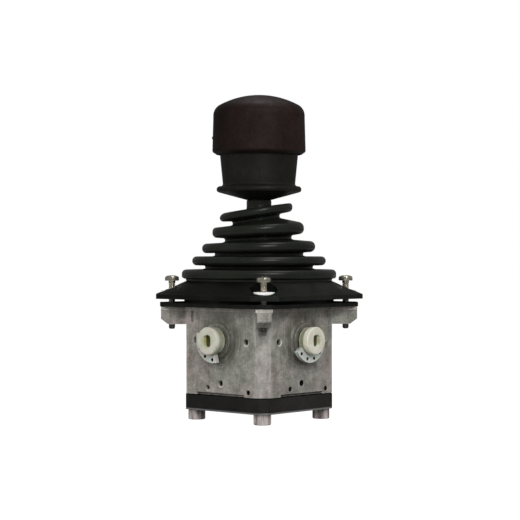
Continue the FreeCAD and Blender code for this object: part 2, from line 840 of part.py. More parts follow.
def slump_ring(radius, height, tilt):
    """One circle of the bellows; a tilted one sinks to one side and shifts that way."""
    azimuth = math.radians(slump_azimuth)
    lean = math.radians(tilt)
    side = Vector(math.cos(azimuth), math.sin(azimuth), 0)
    centre = side * (slump_shift * tilt / beads[0][3]) + Vector(0, 0, height)
    normal = side * (-math.sin(lean)) + UP * math.cos(lean)
    return Part.Wire(Part.makeCircle(radius, centre, normal))


def bead_points(bead):
    """The outer outline of one fold, from its top to its underside, as (radius, height, tilt)."""
    radius, height, thickness, tilt = bead
    half = thickness / 2
    return [
        (radius - bellows_tip_round, height + half, tilt),
        (radius, height + half * bellows_tip_share, tilt),
        (radius, height - half * bellows_tip_share, tilt),
        (radius - bellows_tip_round, height - half, tilt),
    ]


def bead_core(bead):
    """The inner outline of one fold, a single circle inside its bead."""
    radius, height, _, tilt = bead
    return [(radius - bellows_wall - bellows_tip_round, height, tilt)]


def groove_points(index, inset):
    """The circle of the groove under a fold; it leans as that fold does, but the last one is level."""
    radius, height = grooves[index]
    tilt = beads[index][3] if index + 1 < level_fold else 0
    return [(radius - inset, height, tilt)]


def upper_bellows():
    """The collar and the slumped folds, as a skin lofted through tilted circles."""
    collar_top = sleeve_bottom_height - soft_gap
    bore = tube_radius + soft_gap
    outer = [(bellows_collar_radius, collar_top, 0), (bellows_collar_radius, bellows_collar_foot, 0)]
    inner = [(bore, collar_top, 0), (bore, beads[0][1] + beads[0][2] / 2, 0)]
    for index in range(level_fold):
        outer += bead_points(beads[index]) + groove_points(index, 0)
        inner += bead_core(beads[index]) + groove_points(index, bellows_wall)
    skin = Part.makeLoft([slump_ring(*point) for point in outer], True, True)
    hollow = Part.makeLoft([slump_ring(*point) for point in inner], True, True)
    return skin.cut(hollow)


def lower_bellows():
    """The level folds and the foot that drops into the flange, turned about the lever's axis."""
    outer = groove_points(level_fold - 1, 0)
    inner = groove_points(level_fold - 1, bellows_wall)
    for index in range(level_fold, len(beads)):
        outer += bead_points(beads[index])
        inner += bead_core(beads[index])
        if index < len(grooves):
            outer += groove_points(index, 0)
            inner += groove_points(index, bellows_wall)
    foot_radius = flange_bore_radius - bellows_foot_gap
    foot_inner = foot_radius - bellows_foot_wall
    foot_end = flange_bottom + bellows_foot_inset
    outer += [
        (bellows_seat_radius, bellows_seat + bellows_foot_inset / 2, 0),
        (bellows_seat_radius, bellows_seat, 0), (foot_radius, bellows_seat, 0), (foot_radius, foot_end, 0),
    ]
    inner += [(foot_inner, bellows_seat, 0), (foot_inner, foot_end, 0)]
    return revolved([(radius, height) for radius, height, _ in outer + inner[::-1]])


def bellows():
    """The rubber bellows: a collar, five folds and a foot."""
    return fused([upper_bellows(), lower_bellows()])


def panel_screw(x, y):
    """A pan head screw with a cross recess, standing up to its lift."""
    shank = cylinder(panel_screw_radius, screw_tip, head_underside, x, y)
    low = head_underside
    high = head_underside + panel_head_height
    head = revolved([
        (0, low), (panel_head_radius, low),
        (panel_head_radius, low + panel_head_height * head_side_share),
        (panel_head_radius * head_shoulder_share, high - head_shoulder_drop),
        (panel_head_radius * head_crown_share, high), (0, high),
    ])
    head.translate(Vector(x, y, 0))
    wide = cross_recess_width / 2
    reach = cross_recess_length / 2
    deep = high - cross_recess_depth
    cross = [box(x - reach, x + reach, y - wide, y + wide, deep, high),
             box(x - wide, x + wide, y - reach, y + reach, deep, high)]
    return fused([shank, head]).cut(cross)


def washer(x, y):
    """The washer on the floor of a screw well."""
    floor = flange_bottom + counterbore_floor
    return ring(washer_radius, washer_bore_radius, floor, floor + washer_thickness, x, y)


def gasket_plate():
    """The thin plate under the panel, on the housing's ears."""
    plate = cut_square(gasket_width, gasket_corner, housing_top, 0)
    holes = at_corners(screw_spacing, lambda x, y: cylinder(screw_hole_radius, housing_top, 0, x, y))
    return plate.cut([cylinder(panel_opening_radius, housing_top, 0)] + holes)


# Base


def base_screw(x, y):
    """A socket head screw whose head stands under the base plate."""
    low = plate_bottom - base_head_height
    head = revolved([
        (0, low), (base_head_radius - base_head_bevel, low), (base_head_radius, low + base_head_bevel),
        (base_head_radius, plate_bottom), (0, plate_bottom),
    ])
    head.translate(Vector(x, y, 0))
    shank = cylinder(base_screw_radius, plate_bottom, housing_bottom + base_screw_grip, x, y)
    corner_radius = socket_across_flats / 2 / math.cos(math.radians(30))
    corners = [Rotation(UP, 60 * index).multVec(Vector(corner_radius, 0, low)) for index in range(6)]
    socket = Part.Face(Part.makePolygon(corners + corners[:1])).extrude(Vector(0, 0, socket_depth))
    socket.translate(Vector(x, y, 0))
    return fused([head, shank]).cut(socket)


def base_layer(width, low, high, extra_cuts):
    """A flat layer of the base with its four screw holes."""
    holes = at_corners(base_screw_spacing, lambda x, y: cylinder(base_hole_radius, low, high, x, y))
    return cut_square(width, base_corner, low, high).cut(holes + extra_cuts)


flange, flange_spigot = clamp_flange()
base_pocket = cylinder(base_pocket_radius, base_top - base_pocket_depth, base_top)
seal_window = cylinder(base_pocket_radius, base_top, housing_bottom)
pins = [on_face(pivot_pin(), turn) for turn in (FRONT_FACE, BACK_FACE)]
bushes = [on_face(bush(), turn) for turn in (RIGHT_FACE, FRONT_FACE, BACK_FACE, LEFT_FACE)]
frame_end = frame_length / 2

parts = {
    "housing": housing(),
    "gasket_plate": gasket_plate(),
    "panel_seal": flange_spigot,
    "clamp_flange": flange,
    "panel_screws": Part.Compound(at_corners(screw_spacing, panel_screw)),
    "panel_washers": Part.Compound(at_corners(screw_spacing, washer)),
    "bellows": bellows(),
    "base_seal": base_layer(seal_width, base_top, housing_bottom, [seal_window]),
    "base_cover": base_layer(base_width, base_bottom, base_top, [base_pocket]),
    "base_plate": base_layer(base_width, plate_bottom, base_bottom, []),
    "base_screws": Part.Compound(at_corners(base_screw_spacing, base_screw)),
    "detent_post": detent_post(),
    "bearing_bushes": Part.Compound(bushes),
    "shaft_seals": Part.Compound([on_face(shaft_seal(), turn) for turn in (RIGHT_FACE, FRONT_FACE)]),
    "bearing_caps": Part.Compound([on_face(bearing_cap(), turn) for turn in (BACK_FACE, LEFT_FACE)]),
    "gimbal_frame": gimbal_frame(),
    "gimbal_trunnion_long": on_face(trunnion(frame_end - frame_wall, frame_end, True), RIGHT_FACE),
    "gimbal_trunnion_short": on_face(trunnion(frame_end - frame_wall, frame_end, False), LEFT_FACE),
    "gimbal_hub": on_face(hub(gimbal_sector_angle), RIGHT_FACE),
    "gimbal_spring": on_face(centring_spring(), RIGHT_FACE),
    "pivot_pins": Part.Compound(pins),
    "swivel_block": swivel_block(),
    "bow": bow(),
    "bow_trunnion_long": on_face(trunnion(bow_inner_radius, bow_outer, True), FRONT_FACE),
    "bow_trunnion_short": on_face(trunnion(bow_inner_radius, bow_outer, False), BACK_FACE),
    "bow_hub": on_face(hub(bow_sector_angle), FRONT_FACE),
    "bow_spring": on_face(centring_spring(), FRONT_FACE),
    "lever_tube": lever_tube(),
    "lock_rod": lock_rod(),
    "cross_pin": cross_pin(cross_pin_radius),
    "finger_sleeve": finger_sleeve(),
    "sleeve_spring": sleeve_spring(),
    "knob_core": knob_core(),
    "knob_cap": knob_cap(),
}

os.makedirs("parts", exist_ok=True)
for name, shape in parts.items():
    shape.exportStep("parts/" + name + ".step")
    print(name, len(shape.Solids), shape.isValid(), round(shape.Volume, 1))
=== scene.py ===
"""The looks of a two-axis joystick controller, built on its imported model.

Lengths are in millimetres until a mesh is made, and metres from there on. The places that finishes
know are in metres.
"""

import logging
import math
from dataclasses import dataclass, field
from enum import Enum
from typing import Sequence

import bmesh
import bpy
from mathutils import Matrix, Vector


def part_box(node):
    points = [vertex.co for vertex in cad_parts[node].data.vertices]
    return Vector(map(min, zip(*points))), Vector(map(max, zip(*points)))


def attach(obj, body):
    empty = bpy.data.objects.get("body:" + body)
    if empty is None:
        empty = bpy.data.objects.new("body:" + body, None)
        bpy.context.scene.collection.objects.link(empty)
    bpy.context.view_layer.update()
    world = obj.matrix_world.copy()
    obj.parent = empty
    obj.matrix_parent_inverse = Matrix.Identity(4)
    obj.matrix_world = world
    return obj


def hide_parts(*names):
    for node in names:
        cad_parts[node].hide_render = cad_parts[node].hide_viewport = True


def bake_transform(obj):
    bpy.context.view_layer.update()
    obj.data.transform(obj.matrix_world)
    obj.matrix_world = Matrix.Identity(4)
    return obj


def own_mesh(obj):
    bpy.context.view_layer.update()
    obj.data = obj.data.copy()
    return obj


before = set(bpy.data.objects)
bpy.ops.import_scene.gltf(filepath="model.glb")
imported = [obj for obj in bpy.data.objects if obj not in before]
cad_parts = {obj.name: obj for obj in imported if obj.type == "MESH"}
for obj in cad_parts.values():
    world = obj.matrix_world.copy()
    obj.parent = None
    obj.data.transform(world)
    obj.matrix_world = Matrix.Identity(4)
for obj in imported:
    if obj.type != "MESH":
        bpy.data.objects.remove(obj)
bpy.context.view_layer.update()

log = logging.getLogger("joystick")

MM = 0.001
WELD_DISTANCE = 1e-6

Triple = tuple[float, float, float]
Outline = list[Triple]
Mesh = bpy.types.Mesh
Node = bpy.types.Node
Socket = bpy.types.NodeSocket
Tree = bpy.types.NodeTree

ZERO: Triple = (0.0, 0.0, 0.0)
WHITE: Triple = (1.0, 1.0, 1.0)
ACROSS_X: Triple = (0.0, 1.0, 1.0)
ACROSS_Y: Triple = (1.0, 0.0, 1.0)
ACROSS_Z: Triple = (1.0, 1.0, 0.0)


class Body(Enum):
    """The rigid bodies that the new pieces ride on."""

    ROOT = "root"
    GIMBAL = "gimbal"
    LEVER = "lever"
    SLEEVE = "sleeve"


# Node trees


class Kind(Enum):
    """The types of a node group's sockets."""

    FLOAT = "NodeSocketFloat"
    INTEGER = "NodeSocketInt"
    VECTOR = "NodeSocketVector"
    COLOUR = "NodeSocketColor"
    GEOMETRY = "NodeSocketGeometry"
    MATERIAL = "NodeSocketMaterial"


class TreeWriter:
    """Adds nodes to a tree and joins their sockets."""

    def __init__(self, tree: Tree) -> None:
        """Keeps the tree to write to."""
        self.tree = tree

    def add(self, kind: str, inputs: dict | None = None, **settings: object) -> Node:
        """Adds one node.

        Args:
            kind: The node's type name.
            inputs: Input sockets by name or number, each with a value or the socket that feeds it.
            settings: Values of the node's own properties.

        Returns:
            The new node.
        """
        node = self.tree.nodes.new(kind)
        for name, value in settings.items():
            setattr(node, name, value)
        for key, value in (inputs or {}).items():
            if isinstance(value, Socket):
                self.tree.links.new(value, node.inputs[key])
            else:
                node.inputs[key].default_value = value
        return node

    def get(self, kind: str, inputs: dict | None = None, output: int | str = 0,
            **settings: object) -> Socket:
        """Adds one node and gives one of its outputs."""
        return self.add(kind, inputs, **settings).outputs[output]

    def math(self, operation: str, first: object, second: object = 0.0) -> Socket:
        """Works out a value from one or two others."""
        return self.get("ShaderNodeMath", {0: first, 1: second}, operation=operation)

    def product(self, first: object, *others: object) -> Socket:
        """Multiplies values.

        Args:
            first: The first value or socket.
            others: The other ones.

        Returns:
            The product's socket.
        """
        for other in others:
            first = self.math("MULTIPLY", first, other)
        return first

    def vector(self, operation: str, first: object, second: object = ZERO,
               output: int | str = 0) -> Socket:
        """Works out a vector, or with output Value a number, from one or two others."""
        return self.get("ShaderNodeVectorMath", {0: first, 1: second}, output, operation=operation)

    def fade(self, value: object, start: object, end: object, low: float = 0.0, high: float = 1.0) -> Socket:
        """Gives low at the start, high at the end and what lies between in between."""
        return self.get("ShaderNodeMapRange", {
            "Value": value, "From Min": start, "From Max": end, "To Min": low, "To Max": high})

    def mix(self, amount: object, first: Socket, second: object, blend: str = "MIX") -> Socket:
        """Mixes a second colour, or its socket, into a first one."""
        colour = second if isinstance(second, Socket) else (*second, 1.0)
        return self.get("ShaderNodeMix", {0: amount, 6: first, 7: colour}, 2, data_type="RGBA",
                        blend_type=blend)

    def noise(self, place: Socket, scale: object, detail: float, roughness: float = 0.5,
              distortion: float = 0.0) -> Socket:
        """Gives the value of a noise at a place."""
        return self.get("ShaderNodeTexNoise", {
            "Vector": place, "Scale": scale, "Detail": detail, "Roughness": roughness,
            "Distortion": distortion})

    def parts(self, vector: Socket) -> tuple[Socket, ...]:
        """Takes a vector apart into X, Y and Z."""
        return tuple(self.add("ShaderNodeSeparateXYZ", {0: vector}).outputs)

    def combine(self, x: object = 0.0, y: object = 0.0, z: object = 0.0) -> Socket:
        """Puts a vector together from X, Y and Z."""
        return self.get("ShaderNodeCombineXYZ", {0: x, 1: y, 2: z})

    def around(self, place: Socket, axis: Triple, across: Triple) -> Socket:
        """Gives the distance from an axis through a point, where across is 0 along it and else 1."""
        flat = self.vector("MULTIPLY", self.vector("SUBTRACT", place, axis), across)
        return self.vector("LENGTH", flat, output="Value")

    def nearest(self, place: Socket, axes: Sequence[tuple[Triple, float]], across: Triple) -> Socket:
        """Gives the distance from the nearest of some round holes.

        Args:
            place: Object coordinates.
            axes: A point on each hole's axis, and the hole's radius.
            across: 1 for each direction across the axes and 0 along them.

        Returns:
            The distance's socket, less than nothing inside a hole.
        """
        least: object = 1.0
        for axis, radius in axes:
            out = self.math("SUBTRACT", self.around(place, axis, across), radius)
            least = self.math("MINIMUM", least, out)
        return least


class GroupWriter(TreeWriter):
    """Writes a node group that has inputs and outputs of its own."""

    def __init__(self, name: str, kind: str, inputs: Sequence[tuple[str, Kind, object]],
                 outputs: Sequence[tuple[str, Kind]]) -> None:
        """Starts the group.

        Args:
            name: The group's name.
            kind: The type name of its tree.
            inputs: Its inputs, as (name, type, default).
            outputs: Its outputs, as (name, type).
        """
        super().__init__(bpy.data.node_groups.new(name, kind))
        interface = self.tree.interface
        for label, form, value in inputs:
            made = interface.new_socket(name=label, in_out="INPUT", socket_type=form.value)
            if value is not None:
                made.default_value = value
        for label, form in outputs:
            interface.new_socket(name=label, in_out="OUTPUT", socket_type=form.value)
        self.given = self.add("NodeGroupInput").outputs
        self.end = self.add("NodeGroupOutput")

    def close(self, **results: Socket) -> Tree:
        """Joins the results to the group's outputs.

        Args:
            results: The socket that feeds each output.

        Returns:
            The finished tree.
        """
        for name, socket in results.items():
            self.tree.links.new(socket, self.end.inputs[name])
        return self.tree


class SurfaceEffects:
    """The shader groups that several finishes share."""

    def __init__(self) -> None:
        """Builds the three groups."""
        self.grain = self._grain()
        self.tone = self._tone()
        self.edges = self._edges()

    def _grain(self) -> Tree:
        """Fine and coarse unevenness of a surface.

        Returns:
            A group with a Height for bump and a Mask for roughness.
        """
        group = GroupWriter("surface_grain", "ShaderNodeTree", (
            ("Vector", Kind.VECTOR, None), ("Fine Scale", Kind.FLOAT, 900.0),
            ("Coarse Scale", Kind.FLOAT, 120.0), ("Coarse Share", Kind.FLOAT, 0.5),
        ), (("Height", Kind.FLOAT), ("Mask", Kind.FLOAT)))
        place, share = group.given["Vector"], group.given["Coarse Share"]
        fine = group.noise(place, group.given["Fine Scale"], detail=3.0, roughness=0.6)
        coarse = group.noise(place, group.given["Coarse Scale"], detail=4.0, roughness=0.55)
        height = group.math("ADD", group.product(coarse, share),
                            group.product(fine, group.math("SUBTRACT", 1.0, share)))
        return group.close(Height=height, Mask=group.fade(coarse, start=0.32, end=0.68))

    def _tone(self) -> Tree:
        """Uneven colour between a dark and a light tone.

        Returns:
            A group with a Color and the Mask between the two tones.
        """
        group = GroupWriter("mottled_tone", "ShaderNodeTree", (
            ("Vector", Kind.VECTOR, None), ("Stretch", Kind.VECTOR, WHITE), ("Scale", Kind.FLOAT, 60.0),
            ("Low", Kind.FLOAT, 0.35), ("High", Kind.FLOAT, 0.65),
            ("Dark", Kind.COLOUR, (0.1, 0.1, 0.1, 1.0)), ("Light", Kind.COLOUR, (0.3, 0.3, 0.3, 1.0)),
        ), (("Color", Kind.COLOUR), ("Mask", Kind.FLOAT)))
        given = group.given
        place = group.vector("MULTIPLY", given["Vector"], given["Stretch"])
        noise = group.noise(place, given["Scale"], detail=6.0, roughness=0.62, distortion=0.3)
        mask = group.fade(noise, given["Low"], given["High"])
        return group.close(Color=group.mix(mask, given["Dark"], given["Light"]), Mask=mask)

    def _edges(self) -> Tree:
        """Where edges are rubbed or carry a painted sheen: the rounded normal departs from the flat one
        there.

        Returns:
            A group with a Mask that is high along edges.
        """
        group = GroupWriter("rubbed_edges", "ShaderNodeTree", (
            ("Vector", Kind.VECTOR, None), ("Radius", Kind.FLOAT, 0.0006), ("Break Up", Kind.FLOAT, 250.0),
        ), (("Mask", Kind.FLOAT),))
        given = group.given
        rounded = group.get("ShaderNodeBevel", {"Radius": given["Radius"]}, samples=6)
        flat = group.get("ShaderNodeNewGeometry", output="Normal")
        cosine = group.vector("DOT_PRODUCT", rounded, flat, output="Value")
        noise = group.noise(given["Vector"], given["Break Up"], detail=2.0)
        rubbed = group.fade(cosine, start=0.995, end=0.86)
        return group.close(Mask=group.product(rubbed, group.fade(noise, start=0.3, end=0.6)))


EFFECTS = SurfaceEffects()


class Paint(TreeWriter):
    """Writes a material's tree and keeps the colour so far."""

    def __init__(self, tree: Tree) -> None:
        """Empties the tree and starts from Object coordinates.

        Args:
            tree: The material's tree.
        """
        super().__init__(tree)
        tree.nodes.clear()
        self.place = self.get("ShaderNodeTexCoord", output="Object")
        self.colour: Socket | None = None

    def mottle(self, scale: float, spread: tuple[float, float], dark: Triple = WHITE, light: Triple = WHITE,
               stretch: Triple = WHITE) -> Node:
        """Adds an uneven tone.

        Args:
            scale: How fine it is.
            spread: The noise at which it is all dark, and all light.
            dark: Its dark colour.
            light: Its light colour.
            stretch: Its scale along each direction.

        Returns:
            A node with a Color and a Mask.
        """
        return self.add("ShaderNodeGroup", {
            "Vector": self.place, "Stretch": stretch, "Scale": scale, "Low": spread[0], "High": spread[1],
            "Dark": (*dark, 1.0), "Light": (*light, 1.0)}, node_tree=EFFECTS.tone)

    def lay(self, amount: object, colour: object, blend: str = "MIX") -> None:
        """Lays some of a colour over the one so far."""
        self.colour = self.mix(amount, self.colour, colour, blend)

    def shade(self, shade: object, amount: object = 1.0) -> None:
        """Multiplies the colour so far by another one."""
        self.lay(amount, shade, "MULTIPLY")


# Finishes


FLECK_SPREAD = (0.36, 0.64)
SUBSURFACE_SCALE = 0.002


@dataclass(frozen=True)
class Finish:
    """A finish with mottled colour, grain, uneven gloss, and edges lightened for wear and for a painted
    sheen.
    """

    name: str
    slot: str
    dark: Triple
    light: Triple
    gloss: tuple[float, float] = (0.4, 0.5)
    metallic: float = 0.0
    specular: float = 0.5
    tone_scale: float = 60.0
    tone_stretch: Triple = WHITE
    tone_spread: tuple[float, float] = (0.35, 0.65)
    grain: Triple = (1500.0, 200.0, 0.4)
    bump: float = 0.2
    bump_depth: float = 0.0001
    edge_colour: Triple | None = None
    edge_radius: float = 0.0006
    edge_strength: float = 0.6
    subsurface: float = 0.0

    def tint(self, paint: Paint) -> None:
        """Adds what one finish has beyond the common ones; the plain finish adds nothing."""

    def build(self) -> bpy.types.Material:
        """Makes the material, or finds it if it is there already.

        Returns:
            The material.
        """
        made = bpy.data.materials.get(self.name)
        if made is not None:
            return made
        made = bpy.data.materials.new(self.name)
        made.use_nodes = True
        paint = Paint(made.node_tree)
        tone = paint.mottle(self.tone_scale, self.tone_spread, self.dark, self.light, self.tone_stretch)
        paint.colour = tone.outputs["Color"]
        fine, coarse, share = self.grain
        grain = paint.add("ShaderNodeGroup", {
            "Vector": paint.place, "Fine Scale": fine, "Coarse Scale": coarse, "Coarse Share": share,
        }, node_tree=EFFECTS.grain)
        self.tint(paint)
        if self.edge_colour is not None:
            # edge wear and painted sheen: edges are lightened towards edge_colour
            edges = paint.get("ShaderNodeGroup", {
                "Vector": paint.place, "Radius": self.edge_radius}, "Mask", node_tree=EFFECTS.edges)
            paint.lay(paint.product(edges, self.edge_strength), self.edge_colour)
        bump = paint.get("ShaderNodeBump", {
            "Strength": self.bump, "Distance": self.bump_depth, "Height": grain.outputs["Height"]})
        shader = paint.get("ShaderNodeBsdfPrincipled", {
            "Base Color": paint.colour, "Normal": bump,
            "Roughness": paint.fade(grain.outputs["Mask"], 0.0, 1.0, *self.gloss),
            "Metallic": self.metallic, "Specular IOR Level": self.specular,
            "Subsurface Weight": self.subsurface, "Subsurface Scale": SUBSURFACE_SCALE})
        paint.add("ShaderNodeOutputMaterial", {"Surface": shader})
        return made


@dataclass(frozen=True)
class FleckedFinish(Finish):
    """A black moulding with fine flecks, and painted shade that darkens its left side against its right."""

    fleck_scale: float = 700.0
    fleck_dark: Triple = (0.75, 0.75, 0.75)
    fleck_light: Triple = (1.3, 1.3, 1.3)
    left_end: float = -0.03
    right_end: float = 0.0
    left_painted_light: float = 0.55
    right_painted_light: float = 1.0

    def tint(self, paint: Paint) -> None:
        """Adds the flecks and the painted shade on the left side, with painted light towards the right.

        Args:
            paint: The material's tree.
        """
        flecks = paint.mottle(self.fleck_scale, FLECK_SPREAD, self.fleck_dark, self.fleck_light)
        paint.shade(flecks.outputs["Color"])
        x, y, _ = paint.parts(paint.place)
        rightward = paint.math("ADD", x, y)
        # painted light and shade: darker towards the left side, lighter towards the right
        paint.shade(paint.fade(rightward, self.left_end, self.right_end, self.left_painted_light, self.right_painted_light))


@dataclass(frozen=True)
class FlangeFinish(FleckedFinish):
    """The flange's moulding, with painted shade in its screw wells and painted light on its cut corners."""

    well: Triple = (0.0361, 0.0361, 0.0)
    well_radius: float = 0.0078
    well_margin: float = 0.0002
    well_shade: Triple = (0.3, 0.3, 0.32)
    corner: float = 0.0847
    corner_margin: float = 0.0003
    corner_painted_light: Triple = (1.5, 1.6, 1.7)

    def tint(self, paint: Paint) -> None:
        """Adds the painted shade in the wells and the painted light on the corners.

        Args:
            paint: The material's tree.
        """
        super().tint(paint)
        whole = paint.vector("ABSOLUTE", paint.place)
        out = paint.around(whole, self.well, ACROSS_Z)
        # painted shade in the screw wells
        paint.shade(self.well_shade, paint.fade(out, self.well_radius + self.well_margin, self.well_radius))
        x, y, _ = paint.parts(whole)
        reach = paint.math("ADD", x, y)
        # painted light on the cut corners
        paint.shade(self.corner_painted_light, paint.fade(reach, self.corner, self.corner + self.corner_margin))


@dataclass(frozen=True)
class Face:
    """A face of the casting, with (place along it, height, radius) of its tapped holes."""

    facing: Triple
    across: Triple
    bright_holes: tuple[Triple, ...]
    shaded_holes: tuple[Triple, ...]

    def axes(self, holes: Sequence[Triple], shift: float = 0.0) -> list[tuple[Triple, float]]:
        """Gives the axes of some holes in space.

        Args:
            holes: The holes.
            shift: How far to the lower right of itself each one is taken.

        Returns:
            A point on each axis, and the hole's radius.
        """
        x, y, _ = self.across
        moved = Vector((shift * x, shift * y, -shift))
        return [(tuple(Vector((along * x, along * y, height)) + moved), radius)
                for along, height, radius in holes]


FRONT_FACE = Face((0.0, -1.0, 0.0), ACROSS_Y, (
    (0.0198, -0.0219, 0.00165), (0.0, -0.0461, 0.00165), (-0.01, -0.049, 0.00125),
), ((0.0215, -0.0503, 0.00125),))
RIGHT_FACE = Face((1.0, 0.0, 0.0), ACROSS_X, ((-0.0198, -0.0219, 0.00165),), (
    (0.0, -0.0461, 0.00165), (-0.01, -0.049, 0.00125), (0.0215, -0.0503, 0.00125)))


@dataclass(frozen=True)
class CastFinish(Finish):
    """The raw casting: mottled and streaked, with painted light on its corner strips and top lip, darker in
    patches round its bosses, and painted highlights and painted shade at its holes and recesses.
    """

    hue_scale: float = 26.0
    hue_spread: tuple[float, float] = (0.4, 0.6)
    rosy: Triple = (1.08, 0.98, 0.96)
    mossy: Triple = (0.92, 0.98, 0.89)
    speckle_scale: float = 900.0
    speckle_dark: Triple = (0.72, 0.72, 0.72)
    speckle_light: Triple = (1.22, 1.22, 1.22)
    streak_scale: float = 420.0
    streak_stretch: Triple = (1.0, 1.0, 0.1)
    streak_spread: tuple[float, float] = (0.45, 0.7)
    streak_and_sheen: Triple = (0.6, 0.565, 0.55)
    streak_low: float = 0.3
    streak_share: float = 0.2
    strip_start: float = 0.0016
    strip_full: float = 0.0002
    strip_light_share: float = 0.75
    boss_dark: Triple = (0.075, 0.078, 0.055)
    boss_dark_low: float = 0.4
    boss_dark_share: float = 0.75
    boss_dark_start: float = 0.019
    boss_dark_full: float = 0.0125
    hub: Triple = (0.0, 0.0, -0.0214)
    face: float = 0.03325
    corner: float = 0.0603
    recess_painted_shade: Triple = (0.012, 0.012, 0.011)
    recess_shade_start: float = 0.0013
    recess_shade_full: float = 0.0026
    rim: Triple = (0.86, 0.84, 0.8)
    rim_shift: float = 0.0004
    rim_width: float = 0.00048
    rim_share: float = 0.52
    rim_margin: float = 0.0002
    rim_start: float = 0.0001
    rim_depth: tuple[float, float] = (0.002, 0.001)
    wall_margin: tuple[float, float] = (0.00015, 0.00005)
    wall_depth: tuple[float, float] = (0.012, 0.011)
    lip_bottom: float = -0.0049
    lip_full: float = -0.0045
    lip_painted_light: Triple = (1.38, 1.38, 1.38)

    def tint(self, paint: Paint) -> None:
        """Adds the slow change of hue, the speckle, the streaks with painted light on the corners, the darker
        patches round the bosses, the painted light on the lip, and the painted highlights and shade of the
        holes and recesses.

        Args:
            paint: The material's tree.
        """
        hue = paint.mottle(self.hue_scale, self.hue_spread, self.mossy, self.rosy)
        speckle = paint.mottle(self.speckle_scale, FLECK_SPREAD, self.speckle_dark, self.speckle_light)
        for tone in (hue, speckle):
            paint.shade(tone.outputs["Color"])
        streaks = paint.mottle(self.streak_scale, self.streak_spread, stretch=self.streak_stretch)
        streaky = streaks.outputs["Mask"]
        under_face, under_corner = self.insets(paint)
        # streaks, plus painted light on the corner strips, which get much more of the light streak colour
        strip = paint.fade(paint.math("ABSOLUTE", under_corner), self.strip_start, self.strip_full,
                           self.streak_share, self.strip_light_share)
        paint.lay(paint.product(strip, paint.fade(streaky, 0.0, 1.0, self.streak_low)), self.streak_and_sheen)
        # darker in patches round the two hub bosses
        front, side = (paint.around(paint.place, self.hub, across) for across in (ACROSS_Y, ACROSS_X))
        near = paint.fade(paint.math("MINIMUM", front, side), self.boss_dark_start, self.boss_dark_full)
        patchy = paint.fade(streaky, 1.0, 0.0, self.boss_dark_low)
        paint.lay(paint.product(near, self.boss_dark_share, patchy), self.boss_dark)
        height = paint.parts(paint.place)[2]
        # painted light: the top lip of the casting is brightened
        paint.shade(self.lip_painted_light, paint.fade(height, self.lip_bottom, self.lip_full))
        for face in (FRONT_FACE, RIGHT_FACE):
            self.drill(paint, face)
        # painted shade: places that lie deeper than the outer faces, in holes and recesses, are darkened
        inset = paint.math("MINIMUM", under_face, under_corner)
        paint.lay(paint.fade(inset, self.recess_shade_start, self.recess_shade_full), self.recess_painted_shade)

    def drill(self, paint: Paint, face: Face) -> None:
        """Paints a highlight at the lower right of the bright holes' mouths, and painted shade inside the
        shaded ones.

        Args:
            paint: The material's tree.
            face: The face that the holes are in.
        """
        out = paint.vector("DOT_PRODUCT", paint.place, face.facing, output="Value")
        inner, outer = (paint.nearest(paint.place, face.axes(face.bright_holes, shift), face.across)
                        for shift in (0.0, self.rim_shift))
        # painted highlight: a lit crescent at the lower right of each bright hole's mouth
        ring = paint.product(paint.fade(inner, 0.0, self.rim_start),
                             paint.fade(outer, self.rim_width, self.rim_width - self.rim_margin))
        deep, shallow = self.rim_depth
        on_face = paint.fade(out, self.face - deep, self.face - shallow, 0.0, self.rim_share)
        paint.lay(paint.product(ring, on_face), self.rim)
        # painted shade inside the shaded holes
        wall = paint.fade(paint.nearest(paint.place, face.axes(face.shaded_holes), face.across),
                          *self.wall_margin)
        deep, shallow = self.wall_depth
        paint.lay(paint.product(paint.fade(out, self.face - deep, self.face - shallow), wall), self.recess_painted_shade)

    def insets(self, paint: Paint) -> tuple[Socket, Socket]:
        """Measures how deep a place lies under the casting's sides.

        Args:
            paint: The material's tree.

        Returns:
            The depth under the four faces and the depth under the four corner strips.
        """
        x, y, _ = paint.parts(paint.vector("ABSOLUTE", paint.place))
        under_face = paint.math("SUBTRACT", self.face, paint.math("MAXIMUM", x, y))
        under_corner = paint.math("SUBTRACT", self.corner, paint.math("ADD", x, y))
        return under_face, paint.product(under_corner, math.sqrt(0.5))


